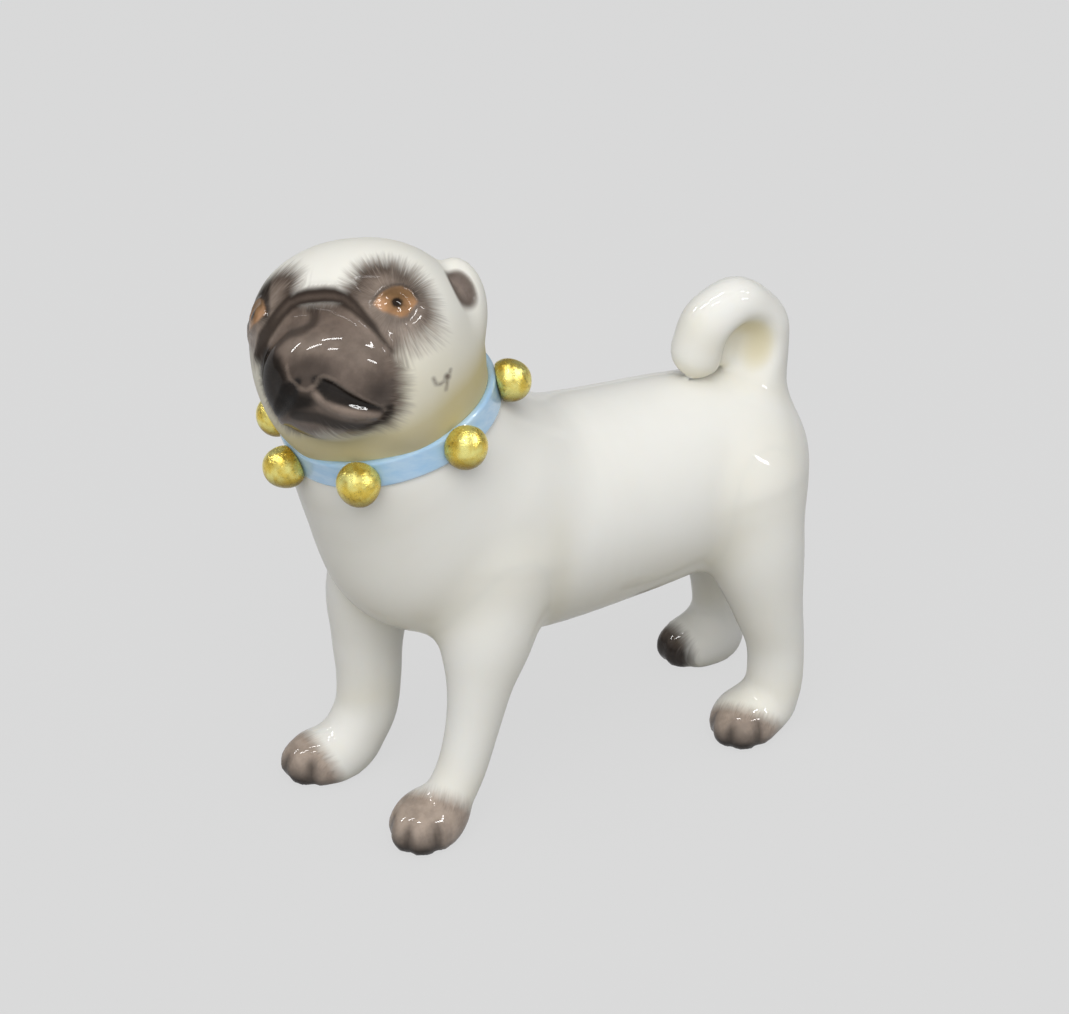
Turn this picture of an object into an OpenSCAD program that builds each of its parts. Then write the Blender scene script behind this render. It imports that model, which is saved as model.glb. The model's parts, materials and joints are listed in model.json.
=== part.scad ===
// Porcelain pug, standing, its head turned to the left, with a belled collar
// Cast in pieces and joined with slip: a hollow body and a hollow head, four legs, a curled tail
// and two ears, then a band rolled round the neck joint and gilded balls pressed on the band.
// Millimetres. +X is forward, +Y is the dog's left, +Z is up, and the soles stand on Z = 0.

/* [Casting] */
// Wall of the hollow body and head
wall = 3; // [2:0.25:4]
// Layer of slip left in each joint
slip = 0.1; // [0.05:0.05:0.3]
// Vent hole under the belly, which lets the hollow breathe in the kiln
vent_d = 4; // [2:0.5:6]
// Place of the vent along the belly
vent_x = -15; // [-21:1:-5]

/* [Torso] */
// Place of the hip section
hip_x = -35.5; // [-38:0.5:-33]
// Height of the croup above the ground
hip_top = 60.4; // [58:0.2:62]
// Height of the groin above the ground
hip_bottom = 28.8; // [27:0.2:31]
// Width of the hips
hip_w = 30.2; // [27:0.2:33]
// How far the rump bulges behind the hip section
rump_bulge = 13.8; // [12:0.2:15]
// Place of the loin section
loin_x = -23; // [-27:0.5:-16]
// Height of the loin above the ground
loin_top = 61.5; // [59:0.5:64]
// Height of the belly above the ground at the loin
loin_bottom = 28; // [26:0.5:31]
// Width of the loin
loin_w = 31.4; // [28:0.2:34]
// Place of the rib section
rib_x = -3; // [-7:0.5:1]
// Height of the back above the ground at the ribs
rib_top = 63.6; // [61:0.2:66]
// Height of the belly above the ground at the ribs
rib_bottom = 26.8; // [24:0.2:29]
// Width of the ribs
rib_w = 35; // [32:0.5:38]
// Place of the lowest point of the chest
chest_x = 16; // [13:0.5:19]
// Width of the chest
chest_w = 36; // [33:0.5:38]
// Place of the foremost point of the breast
breast_x = 36.8; // [34:0.2:38]
// Height of the foremost point of the breast
breast_z = 46; // [43:0.5:49]

/* [Neck and collar] */
// Place of the neck joint, in the middle of the collar
neck_x = 25; // [24:0.5:26]
// Height of the neck joint
neck_z = 69; // [67:0.5:71]
// Forward lean of the neck
neck_lean = 16; // [10:1:20]
// Diameter of the neck under the collar
neck_d = 31; // [29:0.5:33]
// How far the hollow between neck and back runs back from the collar
withers_run = 9; // [7:0.5:10]
// How far it falls
withers_fall = 5.2; // [4:0.2:6]
// Height of the ball of the nape above the bells
nape_rise = 3.6; // [2.5:0.1:4.5]
// Width of the collar band
collar_w = 4.6; // [3.5:0.1:6]
// Thickness of the collar band
collar_t = 1.3; // [1:0.1:2]
// Diameter of a bell
bell_d = 6.6; // [5.5:0.1:7.5]
// Depth of the flat by which a bell is pressed on the band
bell_flat = 1.7; // [1:0.1:2]
// Angle between the front bells
bell_step_front = 46; // [42:1:50]
// Angle between a side bell and the one behind it
bell_step_side = 53; // [49:1:55]

/* [Head] */
// Height of the middle of the skull above the neck joint
head_up = 13.8; // [12.5:0.1:15]
// How far the skull stands ahead of the neck
head_ahead = 2.1; // [0:0.1:4]
// How far the skull stands to the left of the neck
head_aside = 2.6; // [0:0.1:4]
// Turn of the head to its left
head_turn = 36; // [30:1:45]
// Lift of the muzzle
head_lift = 19; // [12:1:24]
// Tilt of the head to its right
head_tilt = 14; // [8:1:18]
// Length of the skull
skull_l = 32.4; // [30:0.2:35]
// Width of the skull
skull_w = 32.8; // [30:0.2:35]
// Height of the skull
skull_h = 29.6; // [28:0.2:32]
// Length of the muzzle ball
muzzle_l = 20.4; // [19:0.2:23]
// Width of the muzzle ball
muzzle_w = 22.8; // [20:0.2:25]
// Height of the muzzle ball
muzzle_h = 18.8; // [17:0.2:21]
// How far the muzzle ball stands ahead of the skull's middle
muzzle_out = 10.4; // [9.4:0.2:11.4]
// How far the muzzle ball hangs below the skull's middle
muzzle_drop = 3.4; // [2.4:0.2:4.4]
// Thickness of a cheek
cheek_w = 12; // [10:0.5:14]
// Length of a cheek
cheek_l = 18; // [15:0.5:20]
// Height of a cheek
cheek_h = 23.6; // [20:0.2:26]
// How far the middle of a cheek stands ahead of the skull's middle
cheek_ahead = 3.5; // [2:0.25:5]
// How far it stands to the side
cheek_aside = 7.6; // [6.6:0.1:8.6]
// How far it hangs below
cheek_drop = 2.2; // [1:0.2:3.4]
// Thickness of a brow
brow_w = 16.2; // [14:0.2:18]
// Length of a brow
brow_l = 14; // [12:0.2:16]
// Height of a brow
brow_h = 13.6; // [12:0.2:15]
// How far the middle of a brow stands ahead of the skull's middle
brow_ahead = 3; // [2:0.2:4]
// How far it stands to the side
brow_aside = 5.2; // [4.2:0.1:6.2]
// How far it stands above
brow_up = 7.4; // [6.4:0.2:8.4]
// Diameter of an eyeball
eye_d = 7.4; // [6.5:0.1:8.5]
// Angle of an eye from the middle of the face
eye_aside = 50; // [46:1:54]
// Angle of an eye above the level of the muzzle
eye_up = 27.5; // [24:0.5:31]
// How far an eyeball stands out of the skull
eye_out = 0.8; // [0.4:0.1:1.2]
// Height of the fold that arches over the muzzle
fold_h = 0.9; // [0.4:0.1:1.4]
// Depth of the mouth slit
mouth_deep = 1.4; // [0.5:0.1:2]
// Diameter of the nose
nose_d = 6.6; // [5:0.2:7]

/* [Ears] */
// How far an ear stands out from the skull
ear_h = 3.1; // [2.5:0.1:4]
// Length of an ear down the side of the skull
ear_w = 13; // [11:0.5:15]
// Thickness of an ear at its root
ear_t = 7.6; // [6:0.2:9]
// Angle of an ear from the top of the skull down its side
ear_down = 67; // [62:1:74]
// Angle of an ear behind the side of the skull
ear_back = 25; // [18:1:32]
// Lean of an ear towards the face
ear_lean = 1; // [0:0.25:3]

/* [Legs] */
// Distance between the forelegs, middle to middle
fore_track = 24.6; // [22:0.2:27]
// Distance between the hind legs, middle to middle
hind_track = 24; // [21:0.2:27]
// Place of the left elbow
left_fore_x = 16.7; // [14:0.1:19]
// Place of the right elbow
right_fore_x = 21.1; // [18:0.1:23]
// Place of the left hock
left_hind_x = -37.4; // [-40:0.1:-35]
// Place of the right hock
right_hind_x = -40.2; // [-42:0.1:-38]
// Height of the elbows and hocks
elbow_z = 25; // [22:0.5:26]
// Diameter of a foreleg at the elbow
elbow_d = 12.8; // [11.6:0.2:14]
// Diameter of a hind leg at the hock
hock_d = 12.8; // [11:0.2:14]
// Diameter of a leg above the paw
wrist_d = 9.2; // [8:0.2:10.4]
// Thickness of the right foreleg as a share of the left one
right_fore_share = 1.18; // [1:0.02:1.3]
// Height of the wrist above the paw
wrist_up = 3.5; // [2.5:0.1:4.5]
// Half height of the shoulders and haunches, as an angle round the torso
thigh_round = 48; // [42:1:50]
// Half length of the shoulders and haunches along the torso
thigh_long = 8.5; // [7:0.5:10]
// How far the shoulders stand out from the torso
shoulder_out = 2.6; // [1.5:0.1:3.5]
// How far the haunches stand out from the torso
haunch_out = 4.6; // [3:0.1:5.5]
// How far the shoulders stand ahead of the elbows
shoulder_ahead = 1.2; // [-1:0.1:2]
// How far the haunches stand ahead of the hip section
haunch_ahead = 1.4; // [0.5:0.1:3]
// How far the wrists stand ahead of the elbows
wrist_ahead = 4; // [2:0.2:6]
// How far the left hind paw is set back from its hock
left_set_back = 1.7; // [0:0.1:4]
// How far the right hind paw is set back from its hock
right_set_back = 5; // [3:0.1:6.5]
// How far the middle of a paw stands ahead of its leg
paw_ahead = 5.2; // [4:0.2:7]
// How far the paws stand outside the elbows and hocks
splay = 0.5; // [0:0.1:2]
// Length of a paw
paw_l = 15.2; // [13:0.2:17]
// Width of a paw
paw_w = 12.6; // [11:0.2:14]
// Height of a paw
paw_h = 7; // [6:0.2:8]
// Turn of the left paws, toes out
left_paw_turn = 35; // [0:1:45]
// Turn of the right paws, toes out
right_paw_turn = 2; // [0:1:30]
// Depth of the grooves between the toes
toe_groove = 0.6; // [0.2:0.1:1]

/* [Tail] */
// Place of the tail's joint behind the hip section
tail_back = 5; // [3.5:0.25:6.5]
// Diameter of the tail at its joint
tail_root_d = 12.4; // [11:0.2:14]
// Diameter of the tail along its curl
tail_d = 9; // [7.5:0.1:9.6]
// Place of the middle of the curl ahead of the tail's joint
curl_ahead = 6.8; // [6:0.2:8]
// Height of the middle of the curl above the tail's joint
curl_up = 8.2; // [7:0.2:10]
// Radius of the curl, to the middle of the tail
curl_r = 7.4; // [6.8:0.1:8]
// How far the curl drifts to the left
curl_drift = 8.5; // [7:0.5:10]

/* [Hidden] */
porcelain = [0.93, 0.92, 0.87];
enamel = [0.6, 0.75, 0.88];
gilding = [0.82, 0.66, 0.2];

// Points round the torso, a leg, the head and a thin piece, and steps between two stations
torso_around = 32;
leg_around = 24;
head_around = 60;
thin_around = 16;
steps = 3;

// Vectors
function unit(v) = v / norm(v);
function on_line(a, b, t) = a + (b - a) * t;
// A direction turned from unit a towards unit b by the share t of the angle between them
function turned(a, b, t) =
    let (w = acos(a * b)) (sin((1 - t) * w) * a + sin(t * w) * b) / sin(w);

// A smooth run through stations, with k steps between each pair
function along(s, i) = s[max(0, min(len(s) - 1, i))];
function between(a, b, c, d, t) =
    (2 * b + (c - a) * t + (2 * a - 5 * b + 4 * c - d) * t * t + (3 * b - a - 3 * c + d) * t * t * t) / 2;
function smooth(s, k) = concat(
    [for (i = [0:len(s) - 2]) for (j = [0:k - 1])
        between(along(s, i - 1), s[i], s[i + 1], along(s, i + 2), j / k)],
    [s[len(s) - 1]]
);

// A skin over rings of equally many points, closed at both ends.
// Each ring runs anticlockwise as seen from before the first one. The two halves of a ring mirror each other.
module skin(rings) {
    n = len(rings[0]);
    last = len(rings) - 1;
    faces = concat(
        [[for (i = [n - 1:-1:0]) i]],
        [for (r = [0:last - 1]) for (i = [0:n - 1]) let (a = r * n + i, b = r * n + (i + 1) % n)
            each i < n / 2 ? [[a, b, a + n], [b, b + n, a + n]] : [[a, b, b + n], [a, b + n, a + n]]],
        [[for (i = [0:n - 1]) last * n + i]]
    );
    polyhedron([for (ring = rings) each ring], faces);
}

// The neck: its own axes are forward across the collar, to the left and along the neck
neck_at = [neck_x, 0, neck_z];
neck_ahead = [cos(neck_lean), 0, -sin(neck_lean)];
neck_axis = [sin(neck_lean), 0, cos(neck_lean)];
neck_r = neck_d / 2;
function on_neck(a, r, up) =
    neck_at + up * neck_axis + r * (cos(a) * neck_ahead + sin(a) * [0, 1, 0]);
module at_neck() translate(neck_at) rotate([0, neck_lean, 0]) children();

// The collar band, and the bells round it: one in front and three down each side
collar_in_r = neck_r + slip;
collar_out_r = collar_in_r + collar_t;
bell_at_r = collar_out_r + slip + bell_d / 2 - bell_flat;
bell_side = [bell_step_front, bell_step_front + bell_step_side, bell_step_front + 2 * bell_step_side];
bell_angles = concat([0], bell_side, -bell_side);
// Height above and below the neck joint that the band and the bells take up
trim_half = max(collar_w, bell_d) / 2 + slip;

// Sections of the body, fanned round the withers: back point, belly point and width
withers = on_neck(180, neck_r, -trim_half);
back_end = withers - [withers_run, 0, withers_fall];
throat = on_neck(0, neck_r, -trim_half);
function station(back, belly, w) = [back[0], back[1], belly[0], belly[1], w];
function back_spot(t) = let (p = on_line(back_end, withers, t)) [p[0], p[2]];
function front_spot(a, b, along_x, along_z) = [on_line(a[0], b[0], along_x), on_line(a[1], b[1], along_z)];
chest_spot = [chest_x, rib_bottom];
breast_spot = [breast_x, breast_z];
throat_spot = [throat[0], throat[2]];
body_stations = [
    station([hip_x, hip_top], [hip_x, hip_bottom], hip_w),
    station([loin_x, loin_top], [loin_x, loin_bottom], loin_w),
    station([rib_x, rib_top], [rib_x, rib_bottom], rib_w),
    station(back_spot(0.2), chest_spot, chest_w),
    station(back_spot(0.5), front_spot(chest_spot, breast_spot, 0.7, 0.3), on_line(chest_w, neck_d, 0.35)),
    station(back_spot(0.72), breast_spot, on_line(chest_w, neck_d, 0.4)),
    station(back_spot(0.87), front_spot(breast_spot, throat_spot, 0.8, 0.6), on_line(chest_w, neck_d, 0.45)),
    station(back_spot(1), throat_spot, neck_d)
];
rib_section = 2;
function at_section(u) = let (i = min(floor(u), len(body_stations) - 2)) between(
    along(body_stations, i - 1), body_stations[i], body_stations[i + 1], along(body_stations, i + 2), u - i);
function section_point(s, b, inset) = let (
    back = [s[0], 0, s[1]],
    belly = [s[2], 0, s[3]],
    up = unit(back - belly)
) (back + belly) / 2 - (norm(back - belly) / 2 - inset) * cos(b) * up
    + (s[4] / 2 - inset) * sin(b) * [0, 1, 0];
// The rump closes as half an oval ball, at the slope a
function rump_point(a, b, inset) = [
    hip_x - (rump_bulge - inset) * sin(a),
    (hip_w / 2 - inset) * cos(a) * sin(b),
    (hip_top + hip_bottom) / 2 - ((hip_top - hip_bottom) / 2 - inset) * cos(a) * cos(b)
];
// A point of the torso's skin: u counts the sections forward from the hip, and runs to -1 round the rump;
// b is the angle from the belly round to the left
function skin_point(u, b, inset) =
    u < 0 ? rump_point(-90 * u, b, inset) : section_point(at_section(u), b, inset);
function ring_angle(i) = 270 - 360 * i / torso_around;
function skin_ring(u, inset) = [for (i = [0:torso_around - 1]) skin_point(u, ring_angle(i), inset)];
function neck_ring(r) = [for (i = [0:torso_around - 1]) on_neck(ring_angle(i), r, 0)];
last_section = len(body_stations) - 1;
rump_sections = [-0.955, -0.8, -0.62, -0.42, -0.21];
hollow_sections = [-0.955, -0.67, -0.33, each [0:last_section]];
module body_shell() skin(concat(
    [for (u = concat(rump_sections, [for (i = [0:last_section * steps]) i / steps])) skin_ring(u, 0)],
    [neck_ring(neck_r), neck_ring(neck_r - wall)],
    [for (i = [len(hollow_sections) - 1:-1:0]) skin_ring(hollow_sections[i], wall)]
));
module body() color(porcelain) difference() {
    body_shell();
    translate([vent_x, 0, 0]) cylinder(on_line(rib_bottom, rib_top, 0.5), d = vent_d, $fn = 32);
}

// The end of a leg or of the tail is cut to lie on the torso's skin, as an oval round the place u, b;
// its middle is filled by smaller ovals
scarf_shares = [0.05, 0.4, 0.72];
function scarf_ring(u, b, along_u, round_b, angles, share) =
    [for (a = angles) skin_point(u + share * along_u * cos(a), b + share * round_b * sin(a), -slip)];

// A leg runs from the scarf on the torso through level sections to the sole
leg_angles = [for (i = [0:leg_around - 1]) 360 * i / leg_around];
// The toes are scallops round the front of a section
toe_reach = 60;
function toe_dent(i, groove) = min(leg_angles[i], 360 - leg_angles[i]) < toe_reach && i % 2 == 0 ? groove : 0;
function leg_ring(at, half_l, half_w, turn, groove) = [for (i = [0:leg_around - 1]) let (
    u = (half_l - toe_dent(i, groove)) * cos(leg_angles[i]),
    v = (half_w - toe_dent(i, groove)) * sin(leg_angles[i])
) at + [u * cos(turn) - v * sin(turn), u * sin(turn) + v * cos(turn), 0]];
wrist_z = paw_h + wrist_up;
function level_rings(x, y, d, wrist, wrist_x, turn) = let (
    paw_x = wrist_x + paw_ahead,
    paw_y = y + sign(y) * splay,
    shank_r = on_line(d, wrist, 0.7) / 2
) [
    leg_ring([x, y, elbow_z], d / 2, d / 2, 0, 0),
    leg_ring([on_line(x, wrist_x, 0.45), on_line(y, paw_y, 0.5), on_line(elbow_z, wrist_z, 0.55)],
        shank_r, shank_r, turn / 3, 0),
    leg_ring([wrist_x, paw_y, wrist_z], wrist / 2, wrist / 2, turn * 2 / 3, 0),
    leg_ring([on_line(wrist_x, paw_x, 0.62), paw_y, paw_h * 0.8],
        paw_l * 0.44, paw_w * 0.45, turn, toe_groove / 3),
    leg_ring([paw_x, paw_y, paw_h * 0.4], paw_l / 2, paw_w / 2, turn, toe_groove),
    leg_ring([paw_x, paw_y, 0], paw_l * 0.44, paw_w * 0.44, turn, toe_groove)
];
// Above the elbow or hock the leg swells out from the torso, most on its outer side
thigh_middle = 56;
// Share of the scarf's size and of the swelling, from the scarf outwards
thigh_steps = [[0.86, 0.42], [0.64, 0.9]];
function thigh_ring(u, b, along_u, out, s) = [for (a = leg_angles) skin_point(
    u + s[0] * along_u * cos(a), b + s[0] * thigh_round * sin(a),
    -slip - s[1] * out * on_line(0.3, 1, (1 + sign(b) * sin(a)) / 2))];
module leg(u, along_u, out, x, y, d, wrist, wrist_x, turn) color(porcelain) {
    b = sign(y) * thigh_middle;
    skin(concat(
        [for (share = scarf_shares) scarf_ring(u, b, along_u, thigh_round, leg_angles, share)],
        smooth(concat([scarf_ring(u, b, along_u, thigh_round, leg_angles, 1)],
            [for (s = thigh_steps) thigh_ring(u, b, along_u, out, s)],
            level_rings(x, y, d, wrist, wrist_x, sign(y) * turn)), steps)
    ));
}
// Shoulders are counted between the rib and chest sections, haunches between the hip and loin sections
fore_span = chest_x - rib_x;
hind_span = loin_x - hip_x;
module foreleg(x, side, share, turn)
    leg(rib_section + (x + shoulder_ahead - rib_x) / fore_span, thigh_long / fore_span, shoulder_out,
        x, side * fore_track / 2, share * elbow_d, share * wrist_d, x + wrist_ahead, turn);
module hind_leg(x, side, set_back, turn)
    leg(haunch_ahead / hind_span, thigh_long / hind_span, haunch_out,
        x, side * hind_track / 2, hock_d, wrist_d, x - set_back, turn);
module left_foreleg() foreleg(left_fore_x, 1, 1, left_paw_turn);
module right_foreleg() foreleg(right_fore_x, -1, right_fore_share, right_paw_turn);
module left_hind_leg() hind_leg(left_hind_x, 1, left_set_back, left_paw_turn);
module right_hind_leg() hind_leg(right_hind_x, -1, right_set_back, right_paw_turn);

// The tail rises from its scarf, curls forward over the back, drifts to the left and tightens at its tip
curl_from = 195;
curl_to = -50;
curl_step = 30;
curl_tightens = curl_r * 0.32;
tail_slope = asin(tail_back / rump_bulge);
tail_at = rump_point(tail_slope, 180, 0);
curl_at = tail_at + [curl_ahead, 0, curl_up];
function curl_share(a) = (curl_from - a) / (curl_from - curl_to);
function curl_radius(a) = curl_r - curl_tightens * pow(curl_share(a), 4);
function curl_point(a) =
    curl_at + [curl_radius(a) * cos(a), curl_drift * curl_share(a), curl_radius(a) * sin(a)];
tail_angles = [for (i = [0:thin_around - 1]) 360 * i / thin_around];
function tail_ring(at, ahead, r) = let (
    across = unit(cross(ahead, [0, 1, 0])),
    side = cross(across, ahead)
) [for (a = tail_angles) at + r * (cos(a) * across + sin(a) * side)];
tail_scarf_u = tail_root_d / 2 / rump_bulge * 0.64;
tail_scarf_b = tail_root_d / hip_w * 180 / PI;
function tail_scarf(share) =
    scarf_ring(-tail_slope / 90, 180, -tail_scarf_u, -tail_scarf_b, tail_angles, share);
tail_rings = concat([tail_scarf(1)], [for (a = [curl_from:-curl_step:curl_to])
    tail_ring(curl_point(a), unit(curl_point(a - 1) - curl_point(a + 1)), tail_d / 2)]);
// The tip closes as a half ball
tip_ahead = unit(curl_point(curl_to - 1) - curl_point(curl_to + 1));
tip_slopes = [25, 50, 72, 86];
module tail() color(porcelain) skin(concat(
    [for (share = scarf_shares) tail_scarf(share)],
    smooth(tail_rings, steps),
    [for (a = tip_slopes)
        tail_ring(curl_point(curl_to) + tail_d / 2 * sin(a) * tip_ahead, tip_ahead, tail_d / 2 * cos(a))]
));

// The head's own axes: forward, to its left and up
head_forward = [cos(head_turn) * cos(head_lift), sin(head_turn) * cos(head_lift), sin(head_lift)];
level_left = [-sin(head_turn), cos(head_turn), 0];
head_left = cos(head_tilt) * level_left + sin(head_tilt) * cross(head_forward, level_left);
head_top = cross(head_forward, head_left);
head_at = neck_at + head_up * neck_axis + head_ahead * neck_ahead + head_aside * [0, 1, 0];
// Rays from a point between the skull and the muzzle shape the head
ray_local = [muzzle_out / 6, 0, -muzzle_drop / 4];
ray_from = head_at + ray_local[0] * head_forward + ray_local[2] * head_top;
function in_head(d) = [d * head_forward, d * head_left, d * head_top];

// How far a ray reaches an oval ball round c, in the head's axes: 0 where it misses
function reach(d, c, r) = let (
    p = [for (i = [0:2]) (ray_local[i] - c[i]) / r[i]],
    q = [for (i = [0:2]) d[i] / r[i]],
    b = p * q,
    disc = b * b - (q * q) * (p * p - 1)
) disc < 0 ? 0 : max(0, (-b + sqrt(disc)) / (q * q));
// The larger of two reaches, rounded where they are within k of each other
function blend(a, b, k) = max(a, b) + pow(max(k - abs(a - b), 0), 2) / (4 * k);
function hump(x, w) = exp(-x * x / (w * w));

skull_half = [skull_l, skull_w, skull_h] / 2;
muzzle_half = [muzzle_l, muzzle_w, muzzle_h] / 2;
skull_at = [-skull_l, 0, skull_h / 2] / 32;
cheek_at = [cheek_ahead, cheek_aside, -cheek_drop];
cheek_half = [cheek_l, cheek_w, cheek_h] / 2;
brow_at = [brow_ahead, brow_aside, brow_up];
brow_half = [brow_l, brow_w, brow_h] / 2;
muzzle_at = [muzzle_out, 0, -muzzle_drop];
function skull_reach(d, inset) = reach(d, skull_at, skull_half - inset * [1, 1, 1]);
function pair_reach(d, c, r) = blend(reach(d, c, r), reach(d, [c[0], -c[1], c[2]], r), r[1] / 2);
function cheeks_reach(d) = blend(skull_reach(d, 0), pair_reach(d, cheek_at, cheek_half), cheek_w / 4);
function brows_reach(d) = blend(cheeks_reach(d), pair_reach(d, brow_at, brow_half), brow_w / 4);
eye_ray = [cos(eye_up) * cos(eye_aside), cos(eye_up) * sin(eye_aside), sin(eye_up)];
eye_at = ray_local + (brows_reach(eye_ray) + eye_out - eye_d / 2) * eye_ray;
function eye_reach(d) = pair_reach(d, eye_at, [1, 1, 1] * eye_d / 2);
nose_at = muzzle_at + [muzzle_l / 2 - nose_d * 0.42, 0, 0];
nose_half = [1, 1.2, 0.9] * nose_d / 2;
function muzzle_reach(d) =
    blend(reach(d, muzzle_at, muzzle_half), reach(d, nose_at, nose_half), nose_d / 11);
// Over the muzzle a fold arches from cheek to cheek; below it the mouth falls from the nose to both corners,
// with a lip under it. Angles are taken from the middle of the face and above the level of the muzzle.
fold_top = 40;
fold_fall = 44;
mouth_top = -8;
mouth_slope = 0.62;
mouth_reach = 36;
lip_drop = 9;
lip_out = mouth_deep * 0.36;
function marks(d) = let (
    aside = abs(atan2(d[1], d[0])),
    up = asin(d[2]),
    above_mouth = up - mouth_top + mouth_slope * aside
) aside > 60 ? 0 : fold_h * hump(up - fold_top + aside * aside / fold_fall, 6)
    + (aside > mouth_reach ? 0
        : lip_out * hump(above_mouth + lip_drop, 4) - mouth_deep * hump(above_mouth, 3.5));
function face_reach(d) =
    blend(blend(brows_reach(d), muzzle_reach(d), muzzle_w / 13), eye_reach(d), eye_d / 7) + marks(d);

// The nape is a ball that meets the neck just above the bells, where the jaw stops at a level shelf
nape_up = trim_half + nape_rise;
nape_r = norm([neck_r, nape_up - trim_half]);
function nape_reach(d, inset) = let (
    p = ray_from - neck_at - nape_up * neck_axis,
    b = p * d,
    disc = b * b - p * p + pow(nape_r - inset, 2)
) disc < 0 ? 0 : -b + sqrt(disc);
function shelf_reach(d) = let (fall = -(d * neck_axis))
    fall <= 0.01 ? 1000 : ((ray_from - neck_at) * neck_axis - trim_half) / fall;
function head_point(d) =
    ray_from + min(blend(face_reach(in_head(d)), nape_reach(d, 0), neck_d / 15), shelf_reach(d)) * d;
function hollow_point(d) = ray_from + max(skull_reach(in_head(d), wall), nape_reach(d, wall)) * d;

// Rays fan from the crown to a ring round the neck, closer together round the face
face_crowding = 24;
function face_angle(i) = let (t = 360 * i / head_around - 180) t - face_crowding * sin(t);
// The angle round the neck of the spot on that ring which lies below the angle a of the face
function below_face(a) = let (
    across = cos(a) * head_forward + sin(a) * head_left,
    level = across - (across * neck_axis) / (head_top * neck_axis) * head_top,
    from_neck = ray_from - neck_at - trim_half * neck_axis,
    under = from_neck - (from_neck * neck_axis) / (head_top * neck_axis) * head_top,
    b = under * level,
    q = level * level,
    spot = under + (sqrt(b * b - q * (under * under - neck_r * neck_r)) - b) / q * level
) atan2(spot[1], spot * neck_ahead);
head_angles = [for (i = [0:head_around - 1]) below_face(face_angle(i))];
head_shares = concat([0.03, 0.12], [for (i = [0:29]) 0.2 + 0.026 * i], [0.98]);
hollow_shares = [0.9, 0.75, 0.55, 0.3, 0.05];
function head_ring(share, r, up) =
    [for (a = head_angles) turned(head_top, unit(on_neck(a, r, up) - ray_from), share)];
function head_neck_ring(r, up) = [for (a = head_angles) on_neck(a, r, up)];
module head() color(porcelain) skin(concat(
    [for (t = head_shares) [for (d = head_ring(t, neck_r, trim_half)) head_point(d)]],
    [head_neck_ring(neck_r, trim_half), head_neck_ring(neck_r, slip), head_neck_ring(neck_r - wall, slip)],
    [for (t = hollow_shares) [for (d = head_ring(t, neck_r - wall, slip)) hollow_point(d)]]
));

// An ear is a flap down the side of the skull: its foot follows the skull, it stands out from there,
// leans to the face and is cupped in front
function ear_axis(side) = -sin(ear_down) * sin(ear_back) * head_forward
    + side * sin(ear_down) * cos(ear_back) * head_left + cos(ear_down) * head_top;
function ear_long(side) = let (axis = ear_axis(side)) unit(head_top - (head_top * axis) * axis);
function ear_front(side) = side * cross(ear_long(side), ear_axis(side));
function ear_foot(side, share, a) = let (
    long = ear_w / 2 * cos(a) * ear_long(side),
    thick = ear_t / 2 * sin(a) * ear_front(side),
    d = unit(ear_axis(side) * skull_w / 2 + share * (long + thick))
) head_point(d) + slip * d;
// Sections from the foot outwards: share of the height, of the length, of the thickness, and of the cup
ear_sections = [[0.3, 1.06, 1, 0.1], [0.6, 1, 0.95, 0.2], [0.85, 0.8, 0.75, 0.15], [1, 0.5, 0.4, 0]];
function ear_point(side, s, a) = let (
    front = max(0, sin(a)),
    cup = s[3] * front * ear_t * 0.6
) ear_foot(side, 0, 0) + s[0] * ear_h * ear_axis(side)
    + s[1] * ear_w / 2 * cos(a) * ear_long(side)
    + (s[2] * ear_t / 2 * sin(a) - cup + s[0] * ear_lean) * ear_front(side);
function ear_round(side) = [for (i = [0:thin_around - 1]) side * 360 * i / thin_around];
module ear(side) color(porcelain) skin(concat(
    [for (share = [0.08, 0.55, 1]) [for (a = ear_round(side)) ear_foot(side, share, a)]],
    [for (s = ear_sections) [for (a = ear_round(side)) ear_point(side, s, a)]]
));
module left_ear() ear(1);
module right_ear() ear(-1);

// The collar band is a rolled strip with rounded edges
collar_round = collar_t * 0.45;
module collar() color(enamel) at_neck() rotate_extrude($fn = 96)
    translate([collar_in_r + collar_t / 2, 0]) union() {
        square([collar_t, collar_w - 2 * collar_round], center = true);
        square([collar_t - 2 * collar_round, collar_w], center = true);
        for (u = [-1, 1]) for (v = [-1, 1])
            translate([u * (collar_t / 2 - collar_round), v * (collar_w / 2 - collar_round)])
                circle(collar_round, $fn = 24);
    }

// A bell is a ball with a flat back, its pole pointing away from the neck
module bell(i) color(gilding) at_neck() rotate([0, 0, bell_angles[i]]) translate([bell_at_r, 0, 0])
    rotate([0, 90, 0]) difference() {
        sphere(bell_d / 2, $fn = 64);
        translate([0, 0, bell_flat - bell_d / 2 - bell_d]) cylinder(bell_d, d = 2 * bell_d);
    }

body();
head();
left_ear();
right_ear();
left_foreleg();
right_foreleg();
left_hind_leg();
right_hind_leg();
tail();
collar();
for (i = [0:len(bell_angles) - 1]) bell(i);
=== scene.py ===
# Porcelain pug with a belled collar: one smooth glazed skin, painted by hand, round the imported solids
import json
import math

import bmesh
import bpy
import numpy as np
from mathutils import Matrix, Vector

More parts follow.
